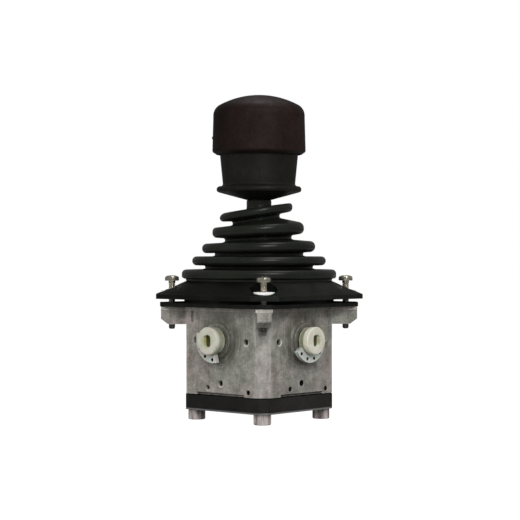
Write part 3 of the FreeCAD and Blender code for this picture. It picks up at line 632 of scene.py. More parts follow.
@dataclass(frozen=True)
class HubFinish(Finish):
    """Cream moulding with painted shade in and round its middle slot and in its sector's holes, painted shade
    and light on its disc, over a greyer sector.
    """

    axis: Triple = (0.0, 0.0, -0.0214)
    across: Triple = ACROSS_X
    outward: Triple = (1.0, 0.0, 0.0)
    slot_painted_shade: Triple = (0.42, 0.47, 0.12)
    slot_radius: float = 0.0018
    slot_end: float = 0.0046
    sector_tint: Triple = (0.42, 0.44, 0.42)
    sector_share: float = 0.75
    sector_angle: float = -90.0
    disc_radius: float = 0.008
    disc_end: float = 0.0084
    disc_front: float = 0.0443
    front_margin: tuple[float, float] = (0.0004, 0.0001)
    side_back: float = 0.0416
    side_clean: float = 0.0424
    back_shade: Triple = (0.4, 0.43, 0.36)
    face_painted_shade: Triple = WHITE
    side_painted_light: Triple = (1.3, 1.3, 1.27)
    hole_painted_shade: Triple = (0.02, 0.022, 0.018)
    hole_ring: float = 0.0107
    hole_radius: float = 0.00088
    hole_margin: float = 0.0002
    hole_pitch: float = 32.0
    hole_count: int = 4

    def tint(self, paint: Paint) -> None:
        """Adds the painted shade near the hub's axis, the painted shade and light on its disc, the greyer
        sector and the painted shade in its holes.

        Args:
            paint: The material's tree.
        """
        out = paint.around(paint.place, self.axis, self.across)
        # painted shade in and round the slot
        paint.lay(paint.fade(out, self.slot_end, self.slot_radius), self.slot_painted_shade)
        depth = paint.vector("DOT_PRODUCT", paint.place, self.outward, output="Value")
        on_disc = paint.fade(out, self.disc_end, self.disc_radius)
        # painted shade at the back of the disc's side
        paint.shade(self.back_shade, paint.product(
            on_disc, paint.fade(depth, self.side_clean, self.side_back)))
        front = paint.fade(depth, *(self.disc_front - margin for margin in self.front_margin))
        # painted shade on the disc's front face, painted light on its side
        paint.shade(self.face_painted_shade, front)
        paint.shade(self.side_painted_light, paint.product(on_disc, paint.math("SUBTRACT", 1.0, front)))
        paint.lay(paint.fade(out, self.disc_radius, self.disc_end, 0.0, self.sector_share), self.sector_tint)
        # painted shade in the sector's holes
        hole = paint.fade(paint.nearest(paint.place, self.holes(), self.across),
                          self.hole_radius + self.hole_margin, self.hole_radius)
        paint.lay(hole, self.hole_painted_shade)

    def holes(self) -> list[tuple[Triple, float]]:
        """Gives the places of the sector's holes.

        Returns:
            The middle of each hole, with no radius.
        """
        middles = []
        x, y, z = self.axis
        for index in range(self.hole_count):
            angle = math.radians(self.sector_angle + (index - (self.hole_count - 1) / 2) * self.hole_pitch)
            along = self.hole_ring * math.cos(angle)
            middle = (x + along * self.across[0], y + along * self.across[1],
                      z + self.hole_ring * math.sin(angle))
            middles.append((middle, 0.0))
        return middles


@dataclass(frozen=True)
class ScrewFinish(Finish):
    """Bright plating that is darker towards the screw's tip."""

    tip_tint: Triple = (0.16, 0.155, 0.14)
    tip_start: float = -0.009
    tip_full: float = -0.012

    def tint(self, paint: Paint) -> None:
        """Darkens the screw below the casting's ears."""
        height = paint.parts(paint.place)[2]
        paint.lay(paint.fade(height, self.tip_start, self.tip_full), self.tip_tint)


CASTING = CastFinish(
    "raw_casting", "cast_housing", dark=(0.165, 0.157, 0.146), light=(0.4, 0.38, 0.357),
    gloss=(0.48, 0.64), metallic=0.3, tone_scale=150.0, tone_spread=(0.34, 0.66),
    grain=(1400.0, 330.0, 0.6), bump=0.55, bump_depth=0.0002, edge_colour=(0.66, 0.64, 0.61),
    edge_strength=0.8)
KNOB_PLASTIC = FleckedFinish(
    "knob_moulding", "knob_plastic", dark=(0.0085, 0.0042, 0.0034), light=(0.0185, 0.0105, 0.0086),
    gloss=(0.5, 0.6), specular=0.21, tone_scale=45.0, grain=(2600.0, 300.0, 0.15), bump=0.14)
SLEEVE_PLASTIC = FleckedFinish(
    "sleeve_moulding", "black_plastic", dark=(0.0052, 0.0047, 0.0039), light=(0.0098, 0.009, 0.0077),
    gloss=(0.42, 0.52), specular=0.31, tone_scale=45.0, grain=(2600.0, 300.0, 0.15), bump=0.12,
    left_painted_light=0.8)
FLANGE_PLASTIC = FlangeFinish(
    "flange_moulding", "black_plastic", dark=(0.0035, 0.004, 0.0028), light=(0.0085, 0.0092, 0.0072),
    left_end=-0.02, right_end=0.03, left_painted_light=0.6, right_painted_light=1.45,
    gloss=(0.4, 0.52), specular=0.25, tone_scale=40.0, grain=(2200.0, 260.0, 0.2), bump=0.14,
    edge_colour=(0.03, 0.031, 0.031), edge_strength=0.5)
COVER_PLASTIC = FleckedFinish(
    "cover_moulding", "black_plastic", dark=(0.0065, 0.006, 0.0055), light=(0.012, 0.0108, 0.01),
    left_end=-0.02, right_end=0.03, left_painted_light=0.8, right_painted_light=1.6,
    gloss=(0.5, 0.6), grain=(1800.0, 300.0, 0.3), bump=0.25,
    edge_colour=(0.035, 0.034, 0.033), edge_strength=0.5)
BELLOWS_RUBBER = Finish(
    "moulded_rubber", "bellows_rubber", dark=(0.0062, 0.0072, 0.005), light=(0.0108, 0.0122, 0.009),
    gloss=(0.27, 0.32), specular=0.52, tone_scale=50.0, grain=(1900.0, 160.0, 0.35), bump=0.03)
SEAL_RUBBER = Finish(
    "pressed_rubber", "seal_rubber", dark=(0.005, 0.0055, 0.0045), light=(0.01, 0.0105, 0.009),
    gloss=(0.6, 0.72), specular=0.25, tone_scale=90.0, grain=(1600.0, 240.0, 0.4), bump=0.3,
    edge_colour=(0.02, 0.02, 0.02), edge_radius=0.0003, edge_strength=0.5)
NICKEL_PLATE = Finish(
    "nickel_plate", "plated_steel", dark=(0.62, 0.59, 0.5), light=(0.85, 0.82, 0.72),
    gloss=(0.2, 0.34), metallic=0.8, tone_scale=300.0, grain=(3000.0, 700.0, 0.4))
PANEL_SCREW_PLATE = ScrewFinish(
    "panel_screw_plate", "plated_steel", dark=(0.62, 0.58, 0.46), light=(0.98, 0.94, 0.8),
    gloss=(0.16, 0.26), metallic=0.93, tone_scale=160.0, grain=(3000.0, 700.0, 0.4), bump=0.06)
TRUNNION_STEEL = Finish(
    "trunnion_steel", "plated_steel", dark=(0.1, 0.098, 0.07), light=(0.2, 0.19, 0.14),
    gloss=(0.3, 0.42), metallic=1.0, tone_scale=300.0, grain=(3000.0, 700.0, 0.4))
ZINC_PLATE = Finish(
    "zinc_plate", "dull_steel", dark=(0.4, 0.365, 0.35), light=(0.62, 0.58, 0.56),
    gloss=(0.34, 0.5), metallic=1.0, tone_scale=260.0, grain=(2600.0, 500.0, 0.4), bump=0.3)
KNURLED_ZINC = Finish(
    "knurled_zinc", "dull_steel", dark=(0.2, 0.17, 0.16), light=(0.86, 0.77, 0.74),
    gloss=(0.4, 0.55), metallic=0.6, tone_scale=330.0, tone_stretch=(1.0, 1.0, 0.12),
    tone_spread=(0.38, 0.6), grain=(2600.0, 500.0, 0.4), bump=0.3)
WASHER_NYLON = Finish(
    "washer_nylon", "white_plastic", dark=(0.82, 0.82, 0.8), light=(0.92, 0.92, 0.91),
    gloss=(0.3, 0.42), tone_scale=200.0, grain=(2600.0, 500.0, 0.4), bump=0.15, subsurface=0.2)
MILLED_ALUMINIUM = Finish(
    "milled_aluminium", "machined_aluminium", dark=(0.6, 0.6, 0.61), light=(0.74, 0.74, 0.75),
    gloss=(0.32, 0.46), metallic=1.0, tone_scale=160.0, tone_stretch=(1.0, 1.0, 6.0),
    grain=(2400.0, 400.0, 0.4), bump=0.25)
BEARING_BRASS = Finish(
    "turned_brass", "bearing_brass", dark=(0.5, 0.36, 0.14), light=(0.68, 0.52, 0.24),
    gloss=(0.28, 0.42), metallic=1.0, tone_scale=200.0, grain=(2400.0, 400.0, 0.4))
CREAM = {
    "slot": "cream_plastic", "dark": (0.54, 0.53, 0.43), "light": (0.7, 0.69, 0.59), "tone_scale": 120.0,
    "grain": (2200.0, 260.0, 0.3), "bump": 0.14, "subsurface": 0.2,
    "edge_colour": (0.78, 0.77, 0.69), "edge_radius": 0.0003, "edge_strength": 0.5}
RIGHT_HUB = HubFinish(
    "cream_hub_right", side_back=0.0405, side_clean=0.0411, slot_painted_shade=(0.3, 0.25, 0.1),
    slot_end=0.0036, sector_tint=(0.5, 0.55, 0.53), **CREAM)
FRONT_HUB = HubFinish(
    "cream_hub_front", across=ACROSS_Y, outward=(0.0, -1.0, 0.0), sector_angle=-138.0,
    face_painted_shade=(0.8, 0.8, 0.8), side_painted_light=WHITE, back_shade=(0.6, 0.62, 0.56), **CREAM)


# Geometry trees


class Trees:
    """The geometry node trees that make turned, wound and repeated forms."""

    knurl_period: float = 3.0
    knurl_start: float = 1.5
    helix_steps: int = 24

    def __init__(self) -> None:
        """Builds the three trees."""
        self.turned = self._turned()
        self.corners = self._corners()
        self.thread = self._thread()

    def _start(self, name: str, *inputs: tuple[str, Kind, object]) -> GroupWriter:
        """Starts a tree that takes geometry, a material and more, and gives geometry."""
        taken = (("Geometry", Kind.GEOMETRY, None), *inputs, ("Material", Kind.MATERIAL, None))
        return GroupWriter(name, "GeometryNodeTree", taken, (("Geometry", Kind.GEOMETRY),))

    def _end(self, tree: GroupWriter, geometry: Socket) -> Tree:
        """Ends a tree in Realize Instances and Set Material."""
        real = tree.get("GeometryNodeRealizeInstances", {"Geometry": geometry})
        return tree.close(Geometry=tree.get("GeometryNodeSetMaterial", {
            "Geometry": real, "Material": tree.given["Material"]}))

    def _turned(self) -> Tree:
        """Turns an outline about Z, where each circle may lean and its rim may be knurled.

        Returns:
            The tree. Its outline is a row of points with the radius as X and the height as Z.
        """
        tree = self._start(
            "turned_body", ("Segments", Kind.INTEGER, 96), ("Azimuth", Kind.FLOAT, 0.0),
            ("Shift Per Lean", Kind.FLOAT, 0.0), ("Knurl Depth", Kind.FLOAT, 0.0),
            ("Knurl Low", Kind.FLOAT, 0.0), ("Knurl High", Kind.FLOAT, 0.0))
        given, work, product = tree.given, tree.math, tree.product
        outline, segments = given["Geometry"], given["Segments"]
        count = tree.get("GeometryNodeAttributeDomainSize", {"Geometry": outline}, "Point Count")
        grid = tree.get("GeometryNodeMeshGrid", {
            "Vertices X": work("ADD", segments, 1.0), "Vertices Y": count}, "Mesh")
        index = tree.get("GeometryNodeInputIndex")
        row = work("MODULO", index, count)
        column = work("FLOOR", work("DIVIDE", work("ADD", index, 0.5), count))
        point = tree.get("GeometryNodeSampleIndex", {
            "Geometry": outline, "Value": tree.get("GeometryNodeInputPosition"), "Index": row,
        }, data_type="FLOAT_VECTOR")
        named = tree.get("GeometryNodeInputNamedAttribute", {"Name": "lean"}, "Attribute", data_type="FLOAT")
        lean = tree.get("GeometryNodeSampleIndex", {
            "Geometry": outline, "Value": named, "Index": row}, data_type="FLOAT")
        reach, _, height = tree.parts(point)
        above = work("GREATER_THAN", height, given["Knurl Low"])
        below = work("LESS_THAN", height, given["Knurl High"])
        odd = work("GREATER_THAN", work("MODULO", column, self.knurl_period), self.knurl_start)
        radius = work("SUBTRACT", reach, product(above, below, odd, given["Knurl Depth"]))
        angle = product(work("DIVIDE", column, segments), 2 * math.pi)
        along = product(radius, work("COSINE", angle))
        aside = product(radius, work("SINE", angle))
        x = work("ADD", product(along, work("COSINE", lean)), product(lean, given["Shift Per Lean"]))
        z = work("ADD", product(along, work("SINE", lean)), height)
        placed = tree.get("GeometryNodeSetPosition", {
            "Geometry": grid, "Position": tree.combine(x, aside, z)})
        closed = tree.get("GeometryNodeMergeByDistance", {"Geometry": placed, "Distance": WELD_DISTANCE})
        turned = tree.get("GeometryNodeTransform", {
            "Geometry": closed, "Rotation": tree.combine(z=given["Azimuth"])})
        return self._end(tree, tree.get("GeometryNodeSetShadeSmooth", {0: turned}))

    def _corners(self) -> Tree:
        """Repeats a piece at the four corners of a square, each copy turned by chance.

        Returns:
            The tree.
        """
        tree = self._start("at_corners", ("Spacing", Kind.FLOAT, 0.05), ("Seed", Kind.INTEGER, 1))
        spacing = tree.given["Spacing"]
        grid = tree.get("GeometryNodeMeshGrid", {
            "Vertices X": 2, "Vertices Y": 2, "Size X": spacing, "Size Y": spacing}, "Mesh")
        turn = tree.get("FunctionNodeRandomValue", {
            "Seed": tree.given["Seed"], 2: 0.0, 3: 2 * math.pi}, 1, data_type="FLOAT")
        return self._end(tree, tree.get("GeometryNodeInstanceOnPoints", {
            "Points": grid, "Instance": tree.given["Geometry"], "Rotation": tree.combine(z=turn)}))

    def _thread(self) -> Tree:
        """Winds a ridge or a wire on a helix, and joins it to the shank that it is given.

        Returns:
            The tree.
        """
        tree = self._start(
            "screw_thread", ("Radius", Kind.FLOAT, 0.002), ("Pitch", Kind.FLOAT, 0.0007),
            ("Low", Kind.FLOAT, 0.0), ("High", Kind.FLOAT, 0.01), ("Ridge", Kind.FLOAT, 0.0003),
            ("Sides", Kind.INTEGER, 4))
        given = tree.given
        length = tree.math("SUBTRACT", given["High"], given["Low"])
        core = tree.math("SUBTRACT", given["Radius"], given["Ridge"])
        helix = tree.get("GeometryNodeCurveSpiral", {
            "Resolution": self.helix_steps, "Rotations": tree.math("DIVIDE", length, given["Pitch"]),
            "Start Radius": core, "End Radius": core, "Height": length})
        ridge = tree.get("GeometryNodeCurvePrimitiveCircle", {
            "Resolution": given["Sides"], "Radius": given["Ridge"]})
        wound = tree.get("GeometryNodeCurveToMesh", {
            "Curve": helix, "Profile Curve": ridge, "Fill Caps": True})
        raised = tree.get("GeometryNodeTransform", {
            "Geometry": wound, "Translation": tree.combine(z=given["Low"])})
        joined = tree.add("GeometryNodeJoinGeometry", {0: raised})
        tree.tree.links.new(given["Geometry"], joined.inputs[0])
        return self._end(tree, joined.outputs[0])

    def grow(self, mesh: Mesh, tree: Tree, finish: Finish, **values: float) -> Mesh:
        """Runs a tree on a mesh and gives the result as a plain mesh.

        Args:
            mesh: What the tree starts from.
            tree: One of the trees.
            finish: The finish of the result.
            values: The tree's inputs by name, with underscores for spaces.

        Returns:
            The plain mesh.
        """
        holder = linked("holder", mesh)
        modifier = holder.modifiers.new("tree", "NODES")
        modifier.node_group = tree
        sockets = {item.name: item.identifier for item in tree.interface.items_tree if item.in_out == "INPUT"}
        modifier[sockets["Material"]] = finish.build()
        for name, value in values.items():
            modifier[sockets[name.replace("_", " ").title()]] = value
        return evaluated_mesh(holder)


TREES = Trees()


# Meshes


def linked(name: str, data: bpy.types.ID) -> bpy.types.Object:
    """Adds an object to the scene.

    Args:
        name: Its name.
        data: Its mesh, light or camera.

    Returns:
        The new object.
    """
    made = bpy.data.objects.new(name, data)
    bpy.context.scene.collection.objects.link(made)
    return made


def evaluated_mesh(holder: bpy.types.Object) -> Mesh:
    """Takes what an object's modifiers make of its mesh, and removes the object.

    Args:
        holder: The object.

    Returns:
        The plain mesh.
    """
    bpy.context.view_layer.update()
    evaluated = holder.evaluated_get(bpy.context.evaluated_depsgraph_get())
    result = bpy.data.meshes.new_from_object(evaluated)
    bpy.data.objects.remove(holder)
    return result


@dataclass(frozen=True)
class Corner:
    """One corner of a turned outline: radius, height, rounding and lean in degrees."""

    radius: float
    height: float
    round: float = 0.0
    lean: float = 0.0

    def vector(self) -> Vector:
        """Gives the corner as (radius, height, lean)."""
        return Vector((self.radius, self.height, self.lean))


STRAIGHT = 1e-4
MOST_OF_RUN = 0.499


def arc(middle: tuple[float, float], radius: float, start: float, end: float, steps: int) -> list[Corner]:
    """Gives corners along an arc of an outline.

    Args:
        middle: The radius and height of the arc's middle.
        radius: The arc's own radius.
        start: Its first angle from straight up, in radians.
        end: Its last angle.
        steps: How many straight runs it is made of.

    Returns:
        The corners.
    """
    angles = [start + (end - start) * step / steps for step in range(steps + 1)]
    return [Corner(middle[0] + radius * math.sin(angle), middle[1] + radius * math.cos(angle))
            for angle in angles]


def rounded_outline(corners: Sequence[Corner], steps: int = 6, closed: bool = False) -> Outline:
    """Rounds the corners of an outline with arcs.

    Args:
        corners: The outline's corners in order.
        steps: How many straight runs each arc is made of.
        closed: Whether the last corner joins the first.

    Returns:
        Points as (radius, height, lean).
    """
    points: Outline = []
    count = len(corners)
    for index, corner in enumerate(corners):
        ends = not closed and index in (0, count - 1)
        if ends or corner.round <= 0:
            points.append((corner.radius, corner.height, corner.lean))
            continue
        here = corner.vector()
        back = corners[index - 1].vector() - here
        ahead = corners[(index + 1) % count].vector() - here
        back_length = math.hypot(back.x, back.y)
        ahead_length = math.hypot(ahead.x, ahead.y)
        cosine = (back.x * ahead.x + back.y * ahead.y) / (back_length * ahead_length)
        half = math.acos(max(-1.0, min(1.0, cosine))) / 2
        bow = math.pi / 2 - half
        if bow < STRAIGHT:
            points.append(tuple(here))
            continue
        reach = min(corner.round / math.tan(half), back_length * MOST_OF_RUN, ahead_length * MOST_OF_RUN)
        first = here + back * (reach / back_length)
        last = here + ahead * (reach / ahead_length)
        depth = here - (first + last) / 2
        for step in range(steps + 1):
            angle = bow * (2 * step / steps - 1)
            side = 0.5 + 0.5 * math.sin(angle) / math.sin(bow)
            rise = (math.cos(angle) - math.cos(bow)) / (math.sin(bow) * math.tan(bow))
            points.append(tuple(first.lerp(last, side) + depth * rise))
    if closed:
        points.append(points[0])
    return points


def turned_mesh(points: Outline, finish: Finish, segments: int = 128, **values: float) -> Mesh:
    """Turns an outline about Z.

    Args:
        points: The outline as (radius, height, lean in degrees).
        finish: Its finish.
        segments: How many flats go round it.
        values: Further inputs of the tree, with underscores for spaces.

    Returns:
        The closed mesh, facing outwards.
    """
    mesh = bpy.data.meshes.new("outline")
    mesh.from_pydata([(radius * MM, 0.0, height * MM) for radius, height, _ in points], [], [])
    attribute = mesh.attributes.new("lean", "FLOAT", "POINT")
    attribute.data.foreach_set("value", [math.radians(lean) for _, _, lean in points])
    return facing_out(TREES.grow(mesh, TREES.turned, finish, segments=segments, **values))


def facing_out(mesh: Mesh, sharp: float = 40.0) -> Mesh:
    """Turns all faces outwards and marks the sharp edges.

    Args:
        mesh: A closed mesh.
        sharp: The angle in degrees past which an edge is sharp.

    Returns:
        The same mesh.
    """
    work = bmesh.new()
    work.from_mesh(mesh)
    bmesh.ops.recalc_face_normals(work, faces=work.faces)
    for polygon in work.faces:
        polygon.smooth = True
    work.to_mesh(mesh)
    work.free()
    mesh.set_sharp_from_angle(angle=math.radians(sharp))
    return mesh


def prism_mesh(points: Sequence[tuple[float, float]], low: float, high: float, taper: float = 1.0) -> Mesh:
    """Makes an upright prism, used to cut a recess.

    Args:
        points: Its outline in plan, anticlockwise.
        low: Its bottom.
        high: Its top.
        taper: The size of its bottom as a share of its top.

    Returns:
        The closed mesh.
    """
    count = len(points)
    vertices = [(x * taper * MM, y * taper * MM, low * MM) for x, y in points]
    vertices += [(x * MM, y * MM, high * MM) for x, y in points]
    faces = [tuple(reversed(range(count))), tuple(range(count, 2 * count))]
    for index in range(count):
        following = (index + 1) % count
        faces.append((index, following, count + following, count + index))
    mesh = bpy.data.meshes.new("cutter")
    mesh.from_pydata(vertices, [], faces)
    return mesh


def cut_mesh(mesh: Mesh, cutter: Mesh) -> Mesh:
    """Cuts one closed mesh out of another.

    Args:
        mesh: The mesh to cut.
        cutter: What to take away.

    Returns:
        The cut mesh.
    """
    holder, tool = linked("cut_holder", mesh), linked("cut_tool", cutter)
    modifier = holder.modifiers.new("cut", "BOOLEAN")
    modifier.operation = "DIFFERENCE"
    modifier.solver = "EXACT"
    modifier.object = tool
    result = evaluated_mesh(holder)
    bpy.data.objects.remove(tool)
    return facing_out(result, 30.0)


def at_four_corners(mesh: Mesh, spacing: float, seed: int, finish: Finish) -> Mesh:
    """Puts copies of a mesh at the corners of a square, turned as the seed has it."""
    return TREES.grow(mesh, TREES.corners, finish, spacing=spacing * MM, seed=seed)


def add_piece(name: str, mesh: Mesh, finish: Finish, body: Body | None,
              replaces: Sequence[str] = ()) -> bpy.types.Object:
    """Adds a piece to the scene and hands it to its body.

    Args:
        name: The piece's name.
        mesh: Its mesh, in place.
        finish: Its finish.
        body: The body it rides on, or None for one that rides on no body.
        replaces: The CAD nodes it stands for.

    Returns:
        The new object.
    """
    mesh.name = name
    if not mesh.materials:
        mesh.materials.append(finish.build())
    piece = linked(name, mesh)
    if body is not None:
        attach(piece, body.value)
    if replaces:
        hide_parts(*replaces)
    log.info("%s: %d faces", name, len(mesh.polygons))
    return piece


PLANE_ANGLE = 0.5
BEVEL_ANGLE = 35.0


def dress(node: str, finish: Finish, bevel: float = 0.0, segments: int = 2) -> None:
    """Gives a CAD node its finish, and softens its edges where it has a bevel.

    Args:
        node: The node's name.
        finish: Its finish.
        bevel: The width of its softened edges in millimetres.
        segments: How many runs make one softened edge.
    """
    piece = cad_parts[node]
    for slot in piece.material_slots:
        slot.material = finish.build()
    if bevel > 0:
        weld = piece.modifiers.new("weld", "WELD")
        weld.merge_threshold = WELD_DISTANCE
        planes = piece.modifiers.new("planes", "DECIMATE")
        planes.decimate_type = "DISSOLVE"
        planes.angle_limit = math.radians(PLANE_ANGLE)
        soften = piece.modifiers.new("soften", "BEVEL")
        soften.width = bevel * MM
        soften.segments = segments
        soften.limit_method = "ANGLE"
        soften.angle_limit = math.radians(BEVEL_ANGLE)
        soften.use_clamp_overlap = True
        soften.harden_normals = True
        soften.miter_outer = "MITER_ARC"
    log.info("%s: dressed in %s", node, finish.name)


# Sub-assemblies


@dataclass
class Knob:
    """The cap, the finger sleeve and what holds them."""

    cap_rim: float = 86.3
    cap_rim_radius: float = 27.4
    cap_rim_height: float = 1.7
    cap_shoulder: float = 108.5
    cap_shoulder_radius: float = 26.85
    cap_shoulder_round: float = 7.0
    cap_top: float = 121.3
    cap_dome_radius: float = 48.8
    cap_lip: float = 0.3
    cap_lip_height: float = 0.4
    cap_inner_radius: float = 24.6
    cap_ceiling: float = 111.5
    nub_height: float = 96.2
    nub_azimuth: float = 222.0
    nub_inset: float = 0.25
    nub_corners: tuple[Corner, ...] = (
        Corner(0, 0.45), Corner(0.8, 0.45, 0.3), Corner(0.9, -0.6), Corner(0, -0.6))
    sleeve_corners: tuple[Corner, ...] = (
        Corner(5.4, 59.8), Corner(7.3, 59.8, 0.4), Corner(22.4, 63.9, 1.2), Corner(24.9, 64.6, 1.6),
        Corner(24.9, 67.5, 1.7), Corner(21.15, 68.1, 1.4), Corner(22.9, 86.0, 30.0),
        Corner(22.9, 101.0, 0.8), Corner(18.9, 101.0, 0.4), Corner(18.9, 72.0, 0.8), Corner(5.4, 72.0, 0.3))
    spring_radius: float = 7.8
    spring_wire: float = 1.2
    spring_turns: int = 5
    spring_sides: int = 12
    sleeve_lift: float = 8.0

    def cap_outline(self) -> Outline:
        """The cap's outline, from its apex over the skirt to the middle of its ceiling.

        Returns:
            The rounded outline.
        """
        centre = self.cap_top - self.cap_dome_radius
        inset = self.cap_shoulder_radius - self.cap_shoulder_round
        reach = self.cap_dome_radius - self.cap_shoulder_round
        turn = math.asin(inset / reach)
        dome = arc((0.0, centre), self.cap_dome_radius, 0.0, turn, 14)
        height = centre + reach * math.cos(turn)
        shoulder = arc((inset, height), self.cap_shoulder_round, turn, math.pi / 2, 12)
        skirt = [
            Corner(self.cap_shoulder_radius, self.cap_shoulder),
            Corner(self.cap_rim_radius, self.cap_rim + self.cap_rim_height, 1.4),
            Corner(self.cap_inner_radius + self.cap_lip, self.cap_rim, 0.3),
            Corner(self.cap_inner_radius, self.cap_rim + self.cap_lip_height, 0.3),
            Corner(self.cap_inner_radius, self.cap_ceiling, 1.0),
            Corner(0.0, self.cap_ceiling),
        ]
        return rounded_outline(dome + shoulder[1:] + skirt, 8)

    def build(self) -> None:
        """Makes the cap with its gate mark and the finger sleeve, and dresses the rest."""
        cap = turned_mesh(self.cap_outline(), KNOB_PLASTIC, 160)
        add_piece("knob_cap_shell", cap, KNOB_PLASTIC, Body.LEVER, ["knob_cap"])
        nub = turned_mesh(rounded_outline(self.nub_corners, 4), KNOB_PLASTIC, 20)
        out = Matrix.Rotation(math.radians(self.nub_azimuth), 4, "Z")
        place = Matrix.Translation(((self.cap_rim_radius - self.nub_inset) * MM, 0, self.nub_height * MM))
        nub.transform(out @ place @ Matrix.Rotation(math.radians(90), 4, "Y"))
        add_piece("knob_gate_mark", nub, KNOB_PLASTIC, Body.LEVER)
        sleeve = turned_mesh(rounded_outline(self.sleeve_corners, 8, True), SLEEVE_PLASTIC, 160)
        add_piece("finger_sleeve_body", sleeve, SLEEVE_PLASTIC, Body.SLEEVE, ["finger_sleeve"])
        self.spring()
        dress("knob_core", SLEEVE_PLASTIC)
        for node in ("lever_tube", "lock_rod", "cross_pin"):
            dress(node, NICKEL_PLATE)

    def spring(self) -> None:
        """Winds the sleeve's spring."""
        low, high = (corner[2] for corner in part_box("sleeve_spring"))
        half = self.spring_wire / 2 * MM
        coil = TREES.grow(
            bpy.data.meshes.new("no_shank"), TREES.thread, ZINC_PLATE,
            radius=self.spring_radius * MM + half, ridge=half, low=low + half, high=high - half,
            pitch=(high - low - 2 * half) / self.spring_turns, sides=self.spring_sides)
        piece = add_piece("sleeve_spring_coil", facing_out(coil), ZINC_PLATE, Body.LEVER, ["sleeve_spring"])
        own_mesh(piece)


@dataclass(frozen=True)
class Fold:
    """One fold of the bellows and the groove under it."""

    radius: float
    height: float
    thickness: float
    lean: float
    groove_radius: float
    groove_height: float
    twist: float = 0.0


